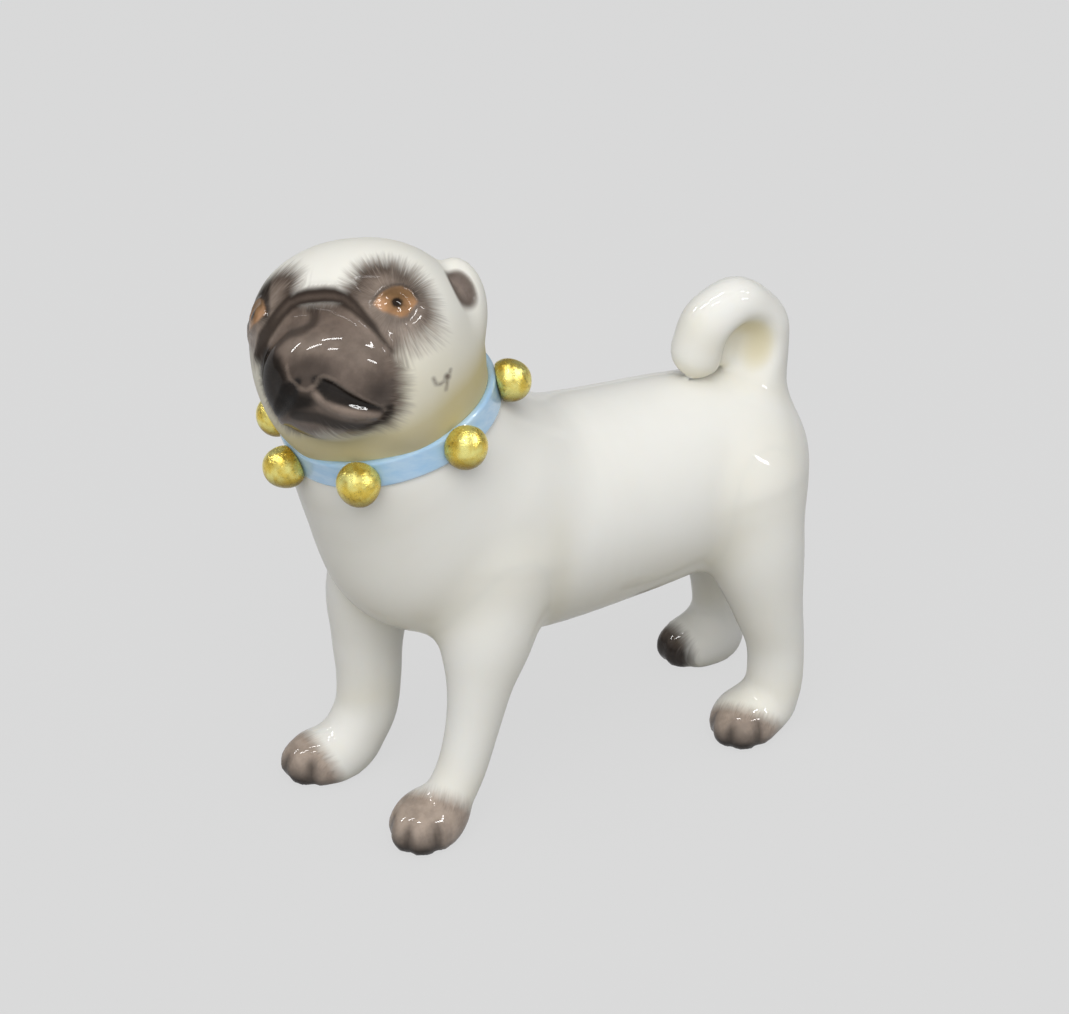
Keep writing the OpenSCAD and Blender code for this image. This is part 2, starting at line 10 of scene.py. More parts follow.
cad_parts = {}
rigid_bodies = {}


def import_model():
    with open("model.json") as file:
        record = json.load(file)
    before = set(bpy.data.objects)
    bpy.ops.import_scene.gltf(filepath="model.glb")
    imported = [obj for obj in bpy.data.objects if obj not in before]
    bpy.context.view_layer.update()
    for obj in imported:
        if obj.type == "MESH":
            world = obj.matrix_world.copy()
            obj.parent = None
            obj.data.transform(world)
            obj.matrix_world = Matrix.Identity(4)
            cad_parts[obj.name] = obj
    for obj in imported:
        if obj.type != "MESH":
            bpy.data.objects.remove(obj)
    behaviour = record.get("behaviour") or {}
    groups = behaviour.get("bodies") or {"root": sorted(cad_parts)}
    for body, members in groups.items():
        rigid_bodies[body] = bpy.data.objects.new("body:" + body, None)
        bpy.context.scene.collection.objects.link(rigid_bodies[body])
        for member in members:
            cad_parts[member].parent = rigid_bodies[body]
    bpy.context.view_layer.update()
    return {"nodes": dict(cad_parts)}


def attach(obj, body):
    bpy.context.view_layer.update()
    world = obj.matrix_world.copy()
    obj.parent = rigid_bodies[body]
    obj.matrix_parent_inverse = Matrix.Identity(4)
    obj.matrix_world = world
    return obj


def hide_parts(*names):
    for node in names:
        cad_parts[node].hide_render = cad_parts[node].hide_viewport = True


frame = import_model()

# All sizes are millimetres in the part's frame until a mesh is made
MM = 0.001

# Grid step and space of the two skins, and how points are drawn on to them
BODY_GRID = 0.79
BODY_SPACE = ((-54, -23, -2), (46, 23, 80))
HEAD_GRID = 0.36
HEAD_SPACE = ((4, -22, 58), (54, 26, 102))
DRAW_ROUNDS = 3
DRAW_LIMIT = 0.4

# Torso, neck and limbs: stations of middle and radius; an oval has a middle and half-sizes
TORSO = [(16.5, 0, 47, 16.9), (4.5, 0, 45.2, 18.5), (-11.5, 0, 44.6, 17.7),
         (-25.5, 0, 44.8, 16.6), (-34.5, 0, 45.3, 14.8)]
TORSO_STRETCH = (1, 0.945, 1)
CHEST = ((22.5, -0.8, 48), (13.2, 14.4, 14.8))
RUMP = ((-35, 0, 44), (13, 14.3, 14.5))
NECK = [(14.5, 0, 54, 17), (22.6, -0.5, 61.5, 17.4), (25, 0, 69, 15.2), (28, 0.8, 76.5, 15)]
LEGS = {
    "left_foreleg": [(12.5, 9, 44, 9.5), (14.8, 11.1, 34, 7.8), (16.9, 12.6, 26, 5.4),
                     (18.5, 13, 18.5, 4.3), (20.6, 13, 11, 3.9), (23.4, 13, 5.5, 3.9)],
    "right_foreleg": [(18, -9, 44, 8.4), (23, -11.3, 34, 7.3), (23.8, -12, 24, 5.9),
                      (23.7, -12.2, 16, 5.3), (24.3, -12.3, 10, 5.1), (26.6, -12.3, 5.5, 5)],
    "left_hind_leg": [(-34, 8, 44, 10), (-35.4, 10.5, 34, 8.2), (-37.2, 12, 24, 6),
                      (-38.9, 12.5, 16, 4.8), (-39.1, 12.5, 9, 4.7), (-38, 12.5, 4.8, 4.8)],
    "right_hind_leg": [(-34.5, -8, 44, 10), (-37.8, -10.5, 34, 8.6), (-41.8, -12, 24, 5.9),
                       (-44, -12.7, 16, 4.8), (-45, -13, 9, 4.7), (-44, -13, 4.8, 4.8)],
}
# Middle of each paw on the ground, and its turn to the left in degrees
PAWS = {
    "left_foreleg": ((26.6, 12.6), 35),
    "right_foreleg": ((31.8, -12.3), 0),
    "left_hind_leg": ((-33.7, 12.5), 35),
    "right_hind_leg": ((-40.7, -12.6), 0),
}
PAW_HALF = (7.8, 5.8, 4.8)
PAW_Z = 2.6
# Grooves between the toes: their directions from the paw's hub, depth, width and where they fade out
TOE_GROOVES = (-27, 0, 27)
TOE_HUB = 3
TOE_DEEP = 0.5
TOE_WIDE = 4.5
TOE_AHEAD = (1.5, 4.5)
TOE_UP = (6, 3.5)
# Where each paw's paint ends at the sole, ahead of the paw's middle, and how that moves with height
PAW_PAINT = {
    "left_foreleg": (-7, 0.88),
    "right_foreleg": (-0.4, 0.4),
    "left_hind_leg": (-2.2, 0.9),
    "right_hind_leg": (3.9, 0.1),
}
# Heights between which a paw has paint
PAW_TOP = 14
BARE_SOLE = 0.1

# Tail: stations, of which the first few are its root, a web inside the curl and a dent on either side
TAIL = [(-36.5, 0, 47, 8.6), (-39.7, 0, 53.5, 5.7), (-41.3, 0.5, 60, 5), (-41.6, 0.8, 67.5, 4.7),
        (-39.4, 0.9, 70.7, 4.6), (-36.8, 1, 72.4, 4.6), (-34.2, 1, 71.8, 4.6), (-31.7, 0.8, 70, 4.6),
        (-30.3, 0.3, 65.8, 4.4)]
TAIL_ROOT = 4
TAIL_WEB = ((-36.2, 0.5, 66.5), (4, 2.2, 5))
TAIL_DENT = ((-37.4, 5.2, 66), (3.7, 3.2, 4))

# Kiln vent under the belly: its place, its radius and the top of what is seen of it
VENT_X = -15
VENT_R = 2
VENT_TOP = 31

# How softly the forms of the body run into each other
TORSO_BLEND = 4
NECK_BLEND = 6
PAW_BLEND = 2
LEG_BLEND = 3.5
TAIL_BLEND = 4
CURL_BLEND = 0.6
TAIL_WEB_BLEND = 1.5
TAIL_DENT_SOFT = 3.5
VENT_SOFT = 0.5
SOLE_SOFT = 0.6

# Neck joint, in the middle of the collar: its place, axes and half the slip in it
NECK_AT = np.array((25, 0, 69))
NECK_LEAN = math.radians(16)
NECK_AXIS = np.array((math.sin(NECK_LEAN), 0, math.cos(NECK_LEAN)))
NECK_AHEAD = np.array((math.cos(NECK_LEAN), 0, -math.sin(NECK_LEAN)))
NECK_LEFT = np.array((0, 1, 0))
JOINT_SLIP = 0.05

# Bells round the collar: radius of their middles, angles to the left, size, dents and the dents' turn
BELL_AT_R = 18.6
BELL_ANGLES = (0, 46, 99, 152, -46, -99, -152)
BELL_R = 3.3
BELL_FLAT = 1.7
BELL_DENT = 0.03
BELL_TILT = 1.7
BELL_WELD = 0.01
BELL_RINGS = 24
BELL_AROUND = 32

# The head's place, its turn to the left, lift and tilt
HEAD_AT = np.array((30.8, 2.6, 81.7))
HEAD_TURN = math.radians(36)
HEAD_LIFT = math.radians(19)
HEAD_TILT = math.radians(14)

# Head, in its own axes: forward, to its left, up
SKULL = ((-1, 0, 0.5), (16.2, 16.4, 14.8))
NAPE = ((-7, 0, -1), (13, 13.4, 13.6))
CHEEK = ((3.5, 7.6, -2.2), (9, 6, 11.8))
BROW = ((1.3, 3, 5.3), (9.5, 11, 9))
BROW_PARTING = 3
MUZZLE = ((10.4, 0.6, -3.4), (10.2, 10.8, 9.4))
NOSE = ((17.6, -0.5, -3.6), (3.4, 4.2, 3.4))
EAR = ((-6.5, 13, 4.6), (4.4, 4.5, 7.2))
EAR_CUP = ((-2.4, 17.1, 6.6), (2.3, 1.7, 5))
EAR_CUP_LEAN = math.radians(32)
RAY_FROM = np.array((1.6, 0, -1))
EYEBALL = 3.7
EYE_OUT = 0.75
FACE_R = 16

# Longest ray through the head, and the halvings that find its end
RAY_LONG = 40.0
RAY_HALVINGS = 40

# How softly the forms of the head run into each other
SKULL_BLEND = 5
CHEEK_BLEND = 4
MUZZLE_BLEND = 1.5
NOSE_BLEND = 1.2
EYE_BLEND = 0.3
EAR_BLEND = 1.2
EAR_CUP_SOFT = 0.5
HEAD_ON_NECK_BLEND = 5

# Lines of the face, in degrees: to its left and up. Fold, eyes, mouth and mask are alike on both sides.
EYE = (50.5, 26)
EYE_OUTLINE = [(37.8, 27.6), (41, 31), (45.7, 33.7), (52, 35.2), (56.5, 34.5), (61.3, 31.3),
               (63.6, 25), (59, 22), (55, 18.7), (50.8, 18), (45.8, 20), (41.5, 22.6)]
EYE_BAG = [(41, 17), (47, 13.5), (54, 12.5), (61, 15), (66, 20)]
FOLD = [(0, 38), (6, 38), (13, 37), (20, 34.5), (26.5, 28.5), (31, 22.5), (35, 16.5), (39, 9), (44, 1.5)]
FOLD_WIDE = (1.2, 1.2, 1.15, 1, 0.85, 0.7, 0.55, 0.3, 0.1)
RIGHT_FOLD_WIDE = 1.1
RIGHT_CREASE = [(-3, 31.5), (0, 29), (1.5, 25), (1, 20), (-3.5, 17), (-11.5, 16),
                (-17.5, 11.5), (-24, 5)]
MOUTH = [(6.5, -7), (9.3, -9.4), (12.6, -12.3), (16.4, -15), (22.3, -19.2), (29, -22.7), (36.5, -26.5)]
MOUTH_WIDE = (0.4, 0.85, 1.25, 1.15, 0.8, 0.5, 0.25)
MUZZLE_MIDDLE = 2.6
UPPER_LIP = [(-7.5, 0), (-6.5, -2.5), (-4.5, -5.6), (-1.4, -9), (2.6, -10.7), (6.2, -9), (8, -6.4),
             (10.5, -5.7), (14, -7.5), (19, -12.3), (27, -18.6), (35, -24.3), (38, -27.5)]
# The upper lip is raised from this spot on, the one below the nose
LIP_MIDDLE = 4
LOWER_LIP = [(6, -13.5), (11.4, -18.8), (17.3, -22.7), (23.8, -25.8), (33, -28.7)]
LOWER_LIP_WIDE = (0.5, 0.8, 0.75, 0.7, 0.4)
CHIN_LINE = [(-7, -22.5), (3, -24.5), (11, -29.5), (20, -34), (29, -37), (37, -37), (41, -33), (40, -28)]
# Outline of the black on the muzzle's right side: black paint and painted shade
MUZZLE_BLACK_AND_SHADE = [(2.6, -11), (-1.5, -9.5), (-5, -6), (-8, -1), (-12, 4), (-18, 7), (-26, 9), (-36, 12),
                (-46, 6), (-50, -12), (-42, -28), (-25, -27), (-8, -21.5), (3, -20), (7, -14.5)]
MASK_IN = 0.9
MOLE = (80.5, -15)
WHISKERS = [[(82.6, -11.5), (81, -16.4), (81.2, -22)],
            [(69.6, -15.2), (72, -18.5), (75.5, -18.7), (81, -16)]]
MASK = [(0, 41.5), (14, 41), (19, 46), (26, 54.5), (40, 58.5), (57, 58), (70, 52), (77, 42), (79.5, 32),
        (80, 22.5), (78, 13), (72, 5.5), (62, -0.5), (54, -3), (54.5, -13), (56, -25), (54.5, -34),
        (48, -44), (25, -47), (0, -40)]

# Relief along these lines: height over the face, or depth below it, and half-width
FOLD_RIDGE = (0.7, 1.3)
FOLD_CREASE = (-0.25, 0.9)
LID_RIDGE = (0.25, 0.5)
UPPER_LIP_RIDGE = (0.2, 0.5)
LOWER_LIP_RIDGE = (0.55, 0.9)
EYE_BAG_RIDGE = (0.35, 1.2)
# The fold's ridge lies this many degrees above its crease
FOLD_RIDGE_UP = 3.5
# The mouth is a groove, shallower on the right of the nose
MOUTH_DEEP = 0.8
RIGHT_MOUTH_SHARE = 0.4
RIGHT_MOUTH_END = (-6, 4)


# Distance fields: a point is a triple of arrays, inside is negative

def smooth_min(a, b, soft):
    near = np.maximum(soft - np.abs(a - b), 0)
    return np.minimum(a, b) - near * near / (4 * soft)


def smooth_max(a, b, soft):
    return -smooth_min(-a, -b, soft)


def oval(p, centre, half):
    q = [p[i] - centre[i] for i in range(3)]
    near = np.sqrt(sum((q[i] / half[i]) ** 2 for i in range(3)))
    slope = np.sqrt(sum((q[i] / half[i] ** 2) ** 2 for i in range(3)))
    return near * (near - 1) / np.maximum(slope, 1e-6)


def curve_through(stations, steps=6):
    s = np.array(stations, float)
    s = np.vstack([2 * s[0] - s[1], s, 2 * s[-1] - s[-2]])
    run = []
    for a, b, c, d in zip(s, s[1:], s[2:], s[3:]):
        for t in np.arange(steps) / steps:
            run.append((2 * b + (c - a) * t + (2 * a - 5 * b + 4 * c - d) * t ** 2
                        + (3 * b - a - 3 * c + d) * t ** 3) / 2)
    return np.array(run + [s[-2]])


def tube(p, stations, stretch=(1, 1, 1)):
    run = curve_through(stations)
    best = np.inf
    for a, b in zip(run, run[1:]):
        along = [(b[i] - a[i]) / stretch[i] for i in range(3)]
        q = [(p[i] - a[i]) / stretch[i] for i in range(3)]
        t = np.clip(sum(q[i] * along[i] for i in range(3)) / sum(w * w for w in along), 0, 1)
        away = np.sqrt(sum((q[i] - t * along[i]) ** 2 for i in range(3))) - (a[3] + (b[3] - a[3]) * t)
        best = np.minimum(best, away)
    return best * min(stretch)


def both_sides(p):
    """A point brought to the left side, so that a form there appears on both sides"""
    return p[0], np.abs(p[1]), p[2]


def hump(x, width):
    return np.exp(-(x / width) ** 2)


def ramp(x, low, high):
    return np.clip((x - low) / (high - low), 0, 1)


def fade(x, low, high):
    t = ramp(x, low, high)
    return t * t * (3 - 2 * t)


def torso_field(p):
    f = smooth_min(tube(p, TORSO, TORSO_STRETCH), oval(p, *CHEST), TORSO_BLEND)
    f = smooth_min(f, oval(p, *RUMP), TORSO_BLEND)
    return smooth_min(f, tube(p, NECK), NECK_BLEND)


def in_paw(p, name):
    """A point in a paw's axes: forward, to the left and up from the ground"""
    (x, y), turn = PAWS[name]
    c = math.cos(math.radians(turn))
    s = math.sin(math.radians(turn))
    return (p[0] - x) * c + (p[1] - y) * s, (p[1] - y) * c - (p[0] - x) * s, p[2]


def toe_angle(ahead, aside):
    """Degrees to the left round the hub of a paw"""
    return np.degrees(np.arctan2(aside, ahead + TOE_HUB))


def leg_field(p, name):
    ahead, aside, up = in_paw(p, name)
    paw = oval((ahead, aside, up), (0, 0, PAW_Z), PAW_HALF)
    angle = toe_angle(ahead, aside)
    front = ramp(ahead, *TOE_AHEAD) * ramp(up, *TOE_UP)
    for groove in TOE_GROOVES:
        paw = paw + TOE_DEEP * front * hump(angle - groove, TOE_WIDE)
    return smooth_min(tube(p, LEGS[name]), paw, PAW_BLEND)


def tail_root_field(p):
    return tube(p, TAIL[:TAIL_ROOT])


def tail_curl_field(p):
    return smooth_min(tube(p, TAIL[TAIL_ROOT - 2:]), oval(p, *TAIL_WEB), TAIL_WEB_BLEND)


def tail_dent(p):
    """The hollow that the curl leaves on either side of the tail"""
    return oval(both_sides(p), *TAIL_DENT)


def vent_field(p):
    return np.maximum(np.hypot(p[0] - VENT_X, p[1]) - VENT_R, p[2] - VENT_TOP)


def above_joint(p):
    return sum((p[i] - NECK_AT[i]) * NECK_AXIS[i] for i in range(3))


def body_field(p):
    f = torso_field(p)
    for name in LEGS:
        f = smooth_min(f, leg_field(p, name), LEG_BLEND)
    f = smooth_min(f, tail_root_field(p), TAIL_BLEND)
    f = smooth_min(f, tail_curl_field(p), CURL_BLEND)
    f = smooth_max(f, -tail_dent(p), TAIL_DENT_SOFT)
    f = smooth_max(f, -vent_field(p), VENT_SOFT)
    f = smooth_max(f, -p[2], SOLE_SOFT)
    return np.maximum(f, above_joint(p) + JOINT_SLIP)


# The head's own axes, and rays from a point between skull and muzzle

def head_axes():
    level_ahead = np.array((math.cos(HEAD_TURN), math.sin(HEAD_TURN), 0))
    level_left = np.array((-math.sin(HEAD_TURN), math.cos(HEAD_TURN), 0))
    forward = math.cos(HEAD_LIFT) * level_ahead + np.array((0, 0, math.sin(HEAD_LIFT)))
    left = math.cos(HEAD_TILT) * level_left + math.sin(HEAD_TILT) * np.cross(forward, level_left)
    return forward, left, np.cross(forward, left)


HEAD_AXES = head_axes()


def in_head(p):
    return [sum((p[i] - HEAD_AT[i]) * axis[i] for i in range(3)) for axis in HEAD_AXES]


def flat_face(q):
    """Degrees to the left and up on a flat map of the face, true along every line from its middle"""
    d = [q[i] - RAY_FROM[i] for i in range(3)]
    across = np.sqrt(d[1] ** 2 + d[2] ** 2)
    angle = np.degrees(np.arctan2(across, d[0]))
    share = angle / np.maximum(across, 1e-6)
    return d[1] * share, d[2] * share


def face_ray(aside, up):
    a, e = math.radians(aside), math.radians(up)
    return np.array((math.cos(e) * math.cos(a), math.cos(e) * math.sin(a), math.sin(e)))


def face_spot(aside, up):
    x, y = flat_face(RAY_FROM + face_ray(aside, up))
    return float(x), float(y)


DEGREE = math.radians(1) * FACE_R


def line_distance(x, y, line, share=None):
    """Millimetres on the face from a line of (aside, up) spots; share also gives values along it"""
    spots = [face_spot(*s) for s in line]
    along = share or [0] * len(line)
    best = np.inf
    value = 0
    for (ax, ay), (bx, by), start, end in zip(spots, spots[1:], along, along[1:]):
        ux = bx - ax
        uy = by - ay
        t = np.clip(((x - ax) * ux + (y - ay) * uy) / (ux * ux + uy * uy), 0, 1)
        away = np.hypot(x - ax - t * ux, y - ay - t * uy)
        value = np.where(away < best, start + (end - start) * t, value)
        best = np.minimum(best, away)
    return best * DEGREE if share is None else (best * DEGREE, value)


def patch_depth(x, y, outline):
    """Millimetres inside a closed outline of (aside, up) spots, negative outside"""
    spots = [face_spot(*s) for s in outline]
    inside = np.zeros(np.shape(x), bool)
    for (ax, ay), (bx, by) in zip(spots, spots[1:] + spots[:1]):
        if ay != by:
            crosses = (ay > y) != (by > y)
            inside ^= crosses & (x < (bx - ax) * (y - ay) / (by - ay) + ax)
    away = line_distance(x, y, outline + outline[:1])
    return np.where(inside, away, -away)


def both_halves(outline):
    """A closed outline from its left half, whose ends lie on the middle line"""
    return outline + [(-a, e) for a, e in reversed(outline[1:-1])]


def skull_field(q):
    f = smooth_min(oval(q, *SKULL), oval(q, *NAPE), SKULL_BLEND)
    f = smooth_min(f, oval(both_sides(q), *CHEEK), CHEEK_BLEND)
    brows = (q[0], np.sqrt(q[1] ** 2 + BROW_PARTING ** 2), q[2])
    return smooth_min(f, oval(brows, *BROW), SKULL_BLEND)


def reach_along(ray, field):
    """How far a ray from the point between skull and muzzle runs inside a field"""
    low, high = 0.0, RAY_LONG
    for _ in range(RAY_HALVINGS):
        middle = (low + high) / 2
        if field(RAY_FROM + middle * ray) < 0:
            low = middle
        else:
            high = middle
    return low


EYE_RAY = face_ray(*EYE)
EYE_AT = RAY_FROM + (reach_along(EYE_RAY, skull_field) + EYE_OUT - EYEBALL) * EYE_RAY


def muzzle_side(x):
    """Degrees from the muzzle's middle line, counted so that both sides follow its left one"""
    return np.abs(x - MUZZLE_MIDDLE) + MUZZLE_MIDDLE


def ridge(away, form):
    """What a ridge along a line adds to the distance; a groove has a negative height"""
    high, wide = form
    return -high * hump(away, wide)


def mouth_groove(signed_x, y):
    away, wide = line_distance(muzzle_side(signed_x), y, MOUTH, MOUTH_WIDE)
    share = RIGHT_MOUTH_SHARE + (1 - RIGHT_MOUTH_SHARE) * fade(signed_x, *RIGHT_MOUTH_END)
    return MOUTH_DEEP * share * hump(away, 0.8 * wide + 0.15) * np.minimum(wide + 0.2, 1)


def face_relief(q):
    """What the folds, eyelids, lips and mouth add to the distance from the face"""
    signed_x, y = flat_face(q)
    x = np.abs(signed_x)
    beside = muzzle_side(signed_x)
    above_fold = [(a, e + FOLD_RIDGE_UP) for a, e in FOLD]
    relief = ridge(line_distance(x, y, above_fold), FOLD_RIDGE)
    relief = relief + ridge(line_distance(x, y, FOLD), FOLD_CREASE)
    relief = relief + ridge(patch_depth(x, y, EYE_OUTLINE), LID_RIDGE)
    relief = relief + mouth_groove(signed_x, y)
    relief = relief + ridge(line_distance(beside, y, UPPER_LIP[LIP_MIDDLE:]), UPPER_LIP_RIDGE)
    relief = relief + ridge(line_distance(beside, y, LOWER_LIP), LOWER_LIP_RIDGE)
    relief = relief + ridge(line_distance(x, y, EYE_BAG), EYE_BAG_RIDGE)
    return np.where(q[0] > 0, relief, 0)


def ear_field(q):
    """Both ears: a flap with a cup in its front"""
    return smooth_max(oval(both_sides(q), *EAR), -ear_cup(q), EAR_CUP_SOFT)


def ear_cup(q):
    c = math.cos(EAR_CUP_LEAN)
    s = math.sin(EAR_CUP_LEAN)
    middle, half = EAR_CUP
    ahead, out, up = [a - m for a, m in zip(both_sides(q), middle)]
    return oval((ahead, out * c + up * s, up * c - out * s), (0, 0, 0), half)


def face_field(q):
    f = smooth_min(skull_field(q), oval(q, *MUZZLE), MUZZLE_BLEND)
    f = smooth_min(f, oval(q, *NOSE), NOSE_BLEND)
    f = smooth_min(f, oval(both_sides(q), EYE_AT, (EYEBALL, EYEBALL, EYEBALL)), EYE_BLEND)
    return f + face_relief(q)


def head_field(p):
    q = in_head(p)
    f = smooth_min(face_field(q), ear_field(q), EAR_BLEND)
    f = smooth_min(f, tube(p, NECK[1:]), HEAD_ON_NECK_BLEND)
    return np.maximum(f, JOINT_SLIP - above_joint(p))


# Skin of a field

CORNERS = list(np.ndindex(2, 2, 2))


def surface(values):
    """Points, in grid steps, and four-sided faces of the zero level of a grid of distances"""
    inside = values < 0
    cells_shape = tuple(n - 1 for n in values.shape)
    count = np.zeros(cells_shape, np.int8)
    for c in CORNERS:
        count += inside[tuple(slice(c[i], c[i] + cells_shape[i]) for i in range(3))]
    cells = np.argwhere((count > 0) & (count < 8))
    number = np.full(cells_shape, -1)
    number[tuple(cells.T)] = np.arange(len(cells))
    total = np.zeros((len(cells), 3))
    crossings = np.zeros((len(cells), 1))
    steps = np.eye(3, dtype=int)
    for axis in range(3):
        for c in CORNERS:
            if c[axis]:
                continue
            start = cells + c
            a = values[tuple(start.T)]
            b = values[tuple((start + steps[axis]).T)]
            crosses = (a < 0) != (b < 0)
            t = np.where(crosses, a / np.where(crosses, a - b, 1), 0)
            total += np.where(crosses[:, None], start + t[:, None] * steps[axis], 0)
            crossings += crosses[:, None]
    faces = []
    for axis in range(3):
        u, v = steps[(axis + 1) % 3], steps[(axis + 2) % 3]
        ahead = np.roll(inside, -1, axis)
        spots = np.argwhere(inside != ahead)
        limit = np.array(cells_shape)
        spots = spots[np.all((spots >= u + v) & (spots < limit), axis=1)]
        quad = np.stack([number[tuple((spots - d).T)] for d in (u + v, v, 0 * u, u)], 1)
        outward = inside[tuple(spots.T)]
        faces.append(np.where(outward[:, None], quad, quad[:, ::-1]))
    return total / crossings, np.vstack(faces)


def sample(values, spots):
    """Values of a grid between its points"""
    base = np.clip(spots.astype(int), 0, np.array(values.shape) - 2)
    t = spots - base
    out = 0
    for c in CORNERS:
        weight = np.abs(1 - np.array(c) - t).prod(1)
        out = out + weight * values[tuple((base + c).T)]
    return out


def skin(field, low, high, step):
    """Points, outward normals and faces of a field, with each point drawn on to its surface"""
    axes = [np.arange(a, b + step, step, dtype=np.float32) for a, b in zip(low, high)]
    values = field(np.meshgrid(*axes, indexing="ij", sparse=True)).astype(np.float32)
    spots, faces = surface(values)
    slopes = np.gradient(values)
    for _ in range(DRAW_ROUNDS):
        slope = np.stack([sample(s, spots) for s in slopes], 1)
        off = sample(values, spots)[:, None] / np.maximum((slope ** 2).sum(1), 1e-4)[:, None]
        spots = spots - np.clip(off * slope, -DRAW_LIMIT, DRAW_LIMIT)
    slope = np.stack([sample(s, spots) for s in slopes], 1)
    normals = slope / np.maximum(np.linalg.norm(slope, axis=1, keepdims=True), 1e-9)
    return low + spots * step, normals, faces


def close(points, faces):
    """Fan-shaped faces that close each open rim of a piece, round a new point in its middle"""
    edges = {(int(a), int(b)) for face in faces for a, b in zip(face, np.roll(face, -1))}
    rim = [(a, b) for a, b in edges if (b, a) not in edges]
    root = {v: v for edge in rim for v in edge}

    def top(v):
        while root[v] != v:
            v = root[v]
        return v

    for a, b in rim:
        root[top(a)] = top(b)
    groups = {}
    for a, b in sorted(rim):
        groups.setdefault(top(a), []).append((a, b))
    middles, caps = [], []
    for group in groups.values():
        middles.append(points[[a for a, _ in group]].mean(0))
        centre = len(points) + len(middles) - 1
        caps += [(b, a, centre) for a, b in group]
    return np.array(middles).reshape(-1, 3), caps


# Named values of the paint at each point: the kind of attribute and its field
ATTRIBUTES = {
    "paint": ("FLOAT_COLOR", "color"),
    "cover": ("FLOAT", "value"),
    # Share of warm yellow: pooled glaze, painted shade and painted reflection of the gold
    "glaze_pool_and_shade": ("FLOAT", "value"),
    "hair": ("FLOAT_VECTOR", "vector"),
    "hairy": ("FLOAT", "value"),
    "gloss": ("FLOAT", "value"),
}


def add_attributes(mesh, values):
    for name, (kind, field) in ATTRIBUTES.items():
        attribute = mesh.attributes.new(name, kind, "POINT")
        attribute.data.foreach_set(field, np.ascontiguousarray(values[name], np.float32).ravel())


def add_object(name, data):
    made = bpy.data.objects.new(name, data)
    bpy.context.scene.collection.objects.link(made)
    return made


def make_piece(node, points, normals, faces, paint, material):
    """A closed piece that stands for a node; paint maps points and normals to named values"""
    used = np.unique(faces)
    faces = np.searchsorted(used, faces)
    points, normals = points[used], normals[used]
    middles, caps = close(points, faces)
    points = np.vstack([points, middles])
    normals = np.vstack([normals, np.tile((0.0, 0.0, 1.0), (len(middles), 1))])
    mesh = bpy.data.meshes.new(f"glazed_{node}")
    mesh.from_pydata((points * MM).tolist(), [], [list(map(int, f)) for f in faces] + caps)
    mesh.shade_smooth()
    mesh.normals_split_custom_set_from_vertices(normals.tolist())
    add_attributes(mesh, paint(points, normals))
    mesh.materials.append(material)
    piece = add_object(f"glazed_{node}", mesh)
    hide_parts(node)
    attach(piece, "root")


# Paint, as colours under the glaze

def linear(colour):
    c = np.array(colour, float) / 255
    return np.where(c <= 0.04045, c / 12.92, ((c + 0.055) / 1.055) ** 2.4)


BROWN = linear((116, 102, 92))
EAR_BROWN = linear((150, 136, 126))
PALE_BROWN = linear((150, 136, 124))
FADED_BROWN = linear((178, 164, 151))
PAW_BROWN = linear((176, 160, 146))
DARK_BROWN = linear((52, 44, 39))
NEAR_BLACK = linear((18, 15, 13))
IRIS = linear((174, 132, 94))
IRIS_CORNER = linear((196, 152, 116))
IRIS_DARK = linear((112, 86, 56))
# Pale lip paint, and on the lower lip also the painted highlight
LIP_AND_HIGHLIGHT = linear((150, 134, 121))

# Cover counts millimetres inwards from the edge of the paint; this is far outside it
UNPAINTED = -20.0

# Soft edges run from none at the first value to all at the second. On the face, in degrees:
BELOW_EYE = (2, 15)
OUTSIDE_EYE = (38, 54)
ABOVE_MOLE = (-8, 0)
BROW_UP = (22, 38)
MUZZLE_ROUND = (52, 38)
SMOOTH_MUZZLE = (50, 38)
SHINY_MUZZLE = (36, 28)
RIGHT_BROW = (20, 24.5)
RIGHT_BROW_UP = (20, 30)
FOLD_HIGHLIGHT_END = (32, 20)
LEFT_OF_NOSE = (2, 7)
# Painted shade of the lid, from the eye's middle upwards
LID_SHADE_EDGE = (0, 6)
EYE_CORNER = (-5, -9)

# In millimetres from a line, an outline, the eye's middle or the edge of the paint:
EYE_SURROUND = (9, 4)
BLACK_EDGE = (-0.7, 1)
FOLD_EDGE = (0.4, -0.4)
CREASE_SHADE_EDGE = (1.4, 0.3)
CHIN_EDGE = (1.5, 0.5)
LOWER_LIP_EDGE = (0.35, -0.3)
MOUTH_EDGE = (0.35, -0.2)
UPPER_LIP_EDGE = (0.4, 0.1)
LID_EDGE = (0.8, 0.2)
IRIS_EDGE = (-0.3, 0.4)
IRIS_RING = (1.9, 1.1)
PUPIL_EDGE = (1.1, 0.65)
EAR_EDGE = (0.7, 0.4)
MASK_BACK = (-6, -2)
SHINY_EYE = (-1.2, -0.4)
SMOOTH_PAINT = (0.5, 4)
THICK_PAINT = (1.5, 4)
BARE_EYE = (-0.6, 0.2)
BARE_FOLD = (0.5, -0.1)
BARE_EAR = (1.4, 0.8)
BARE_MOLE = (-1, -0.3)

# Soft spots on the flat map of the face: place and half-width in degrees
# Pale paint and painted light on the left flew, the side towards the light
PALE_AND_PAINTED_LIGHT_FLEW = ((30, 3), (14, 9))
PALE_BRIDGE = ((4, 9), (16, 5))
DARK_CORNER = ((33, -18), (9, 9))
NOSE_SHADE = ((3, -4.5), (11, 7))
NOSE_SHADE_EDGE = (1.6, 0.6)

# The dark rim of hairs inside the mask's edge, and the painted highlight along the middle of the fold
RIM_IN = 2
RIM_WIDE = 1.6
FOLD_HIGHLIGHT_WIDE = 0.35
# The muzzle's middle below the map's, and the slant of the right brow's edge
MUZZLE_LOW = 4
RIGHT_BROW_LEAN = 0.35
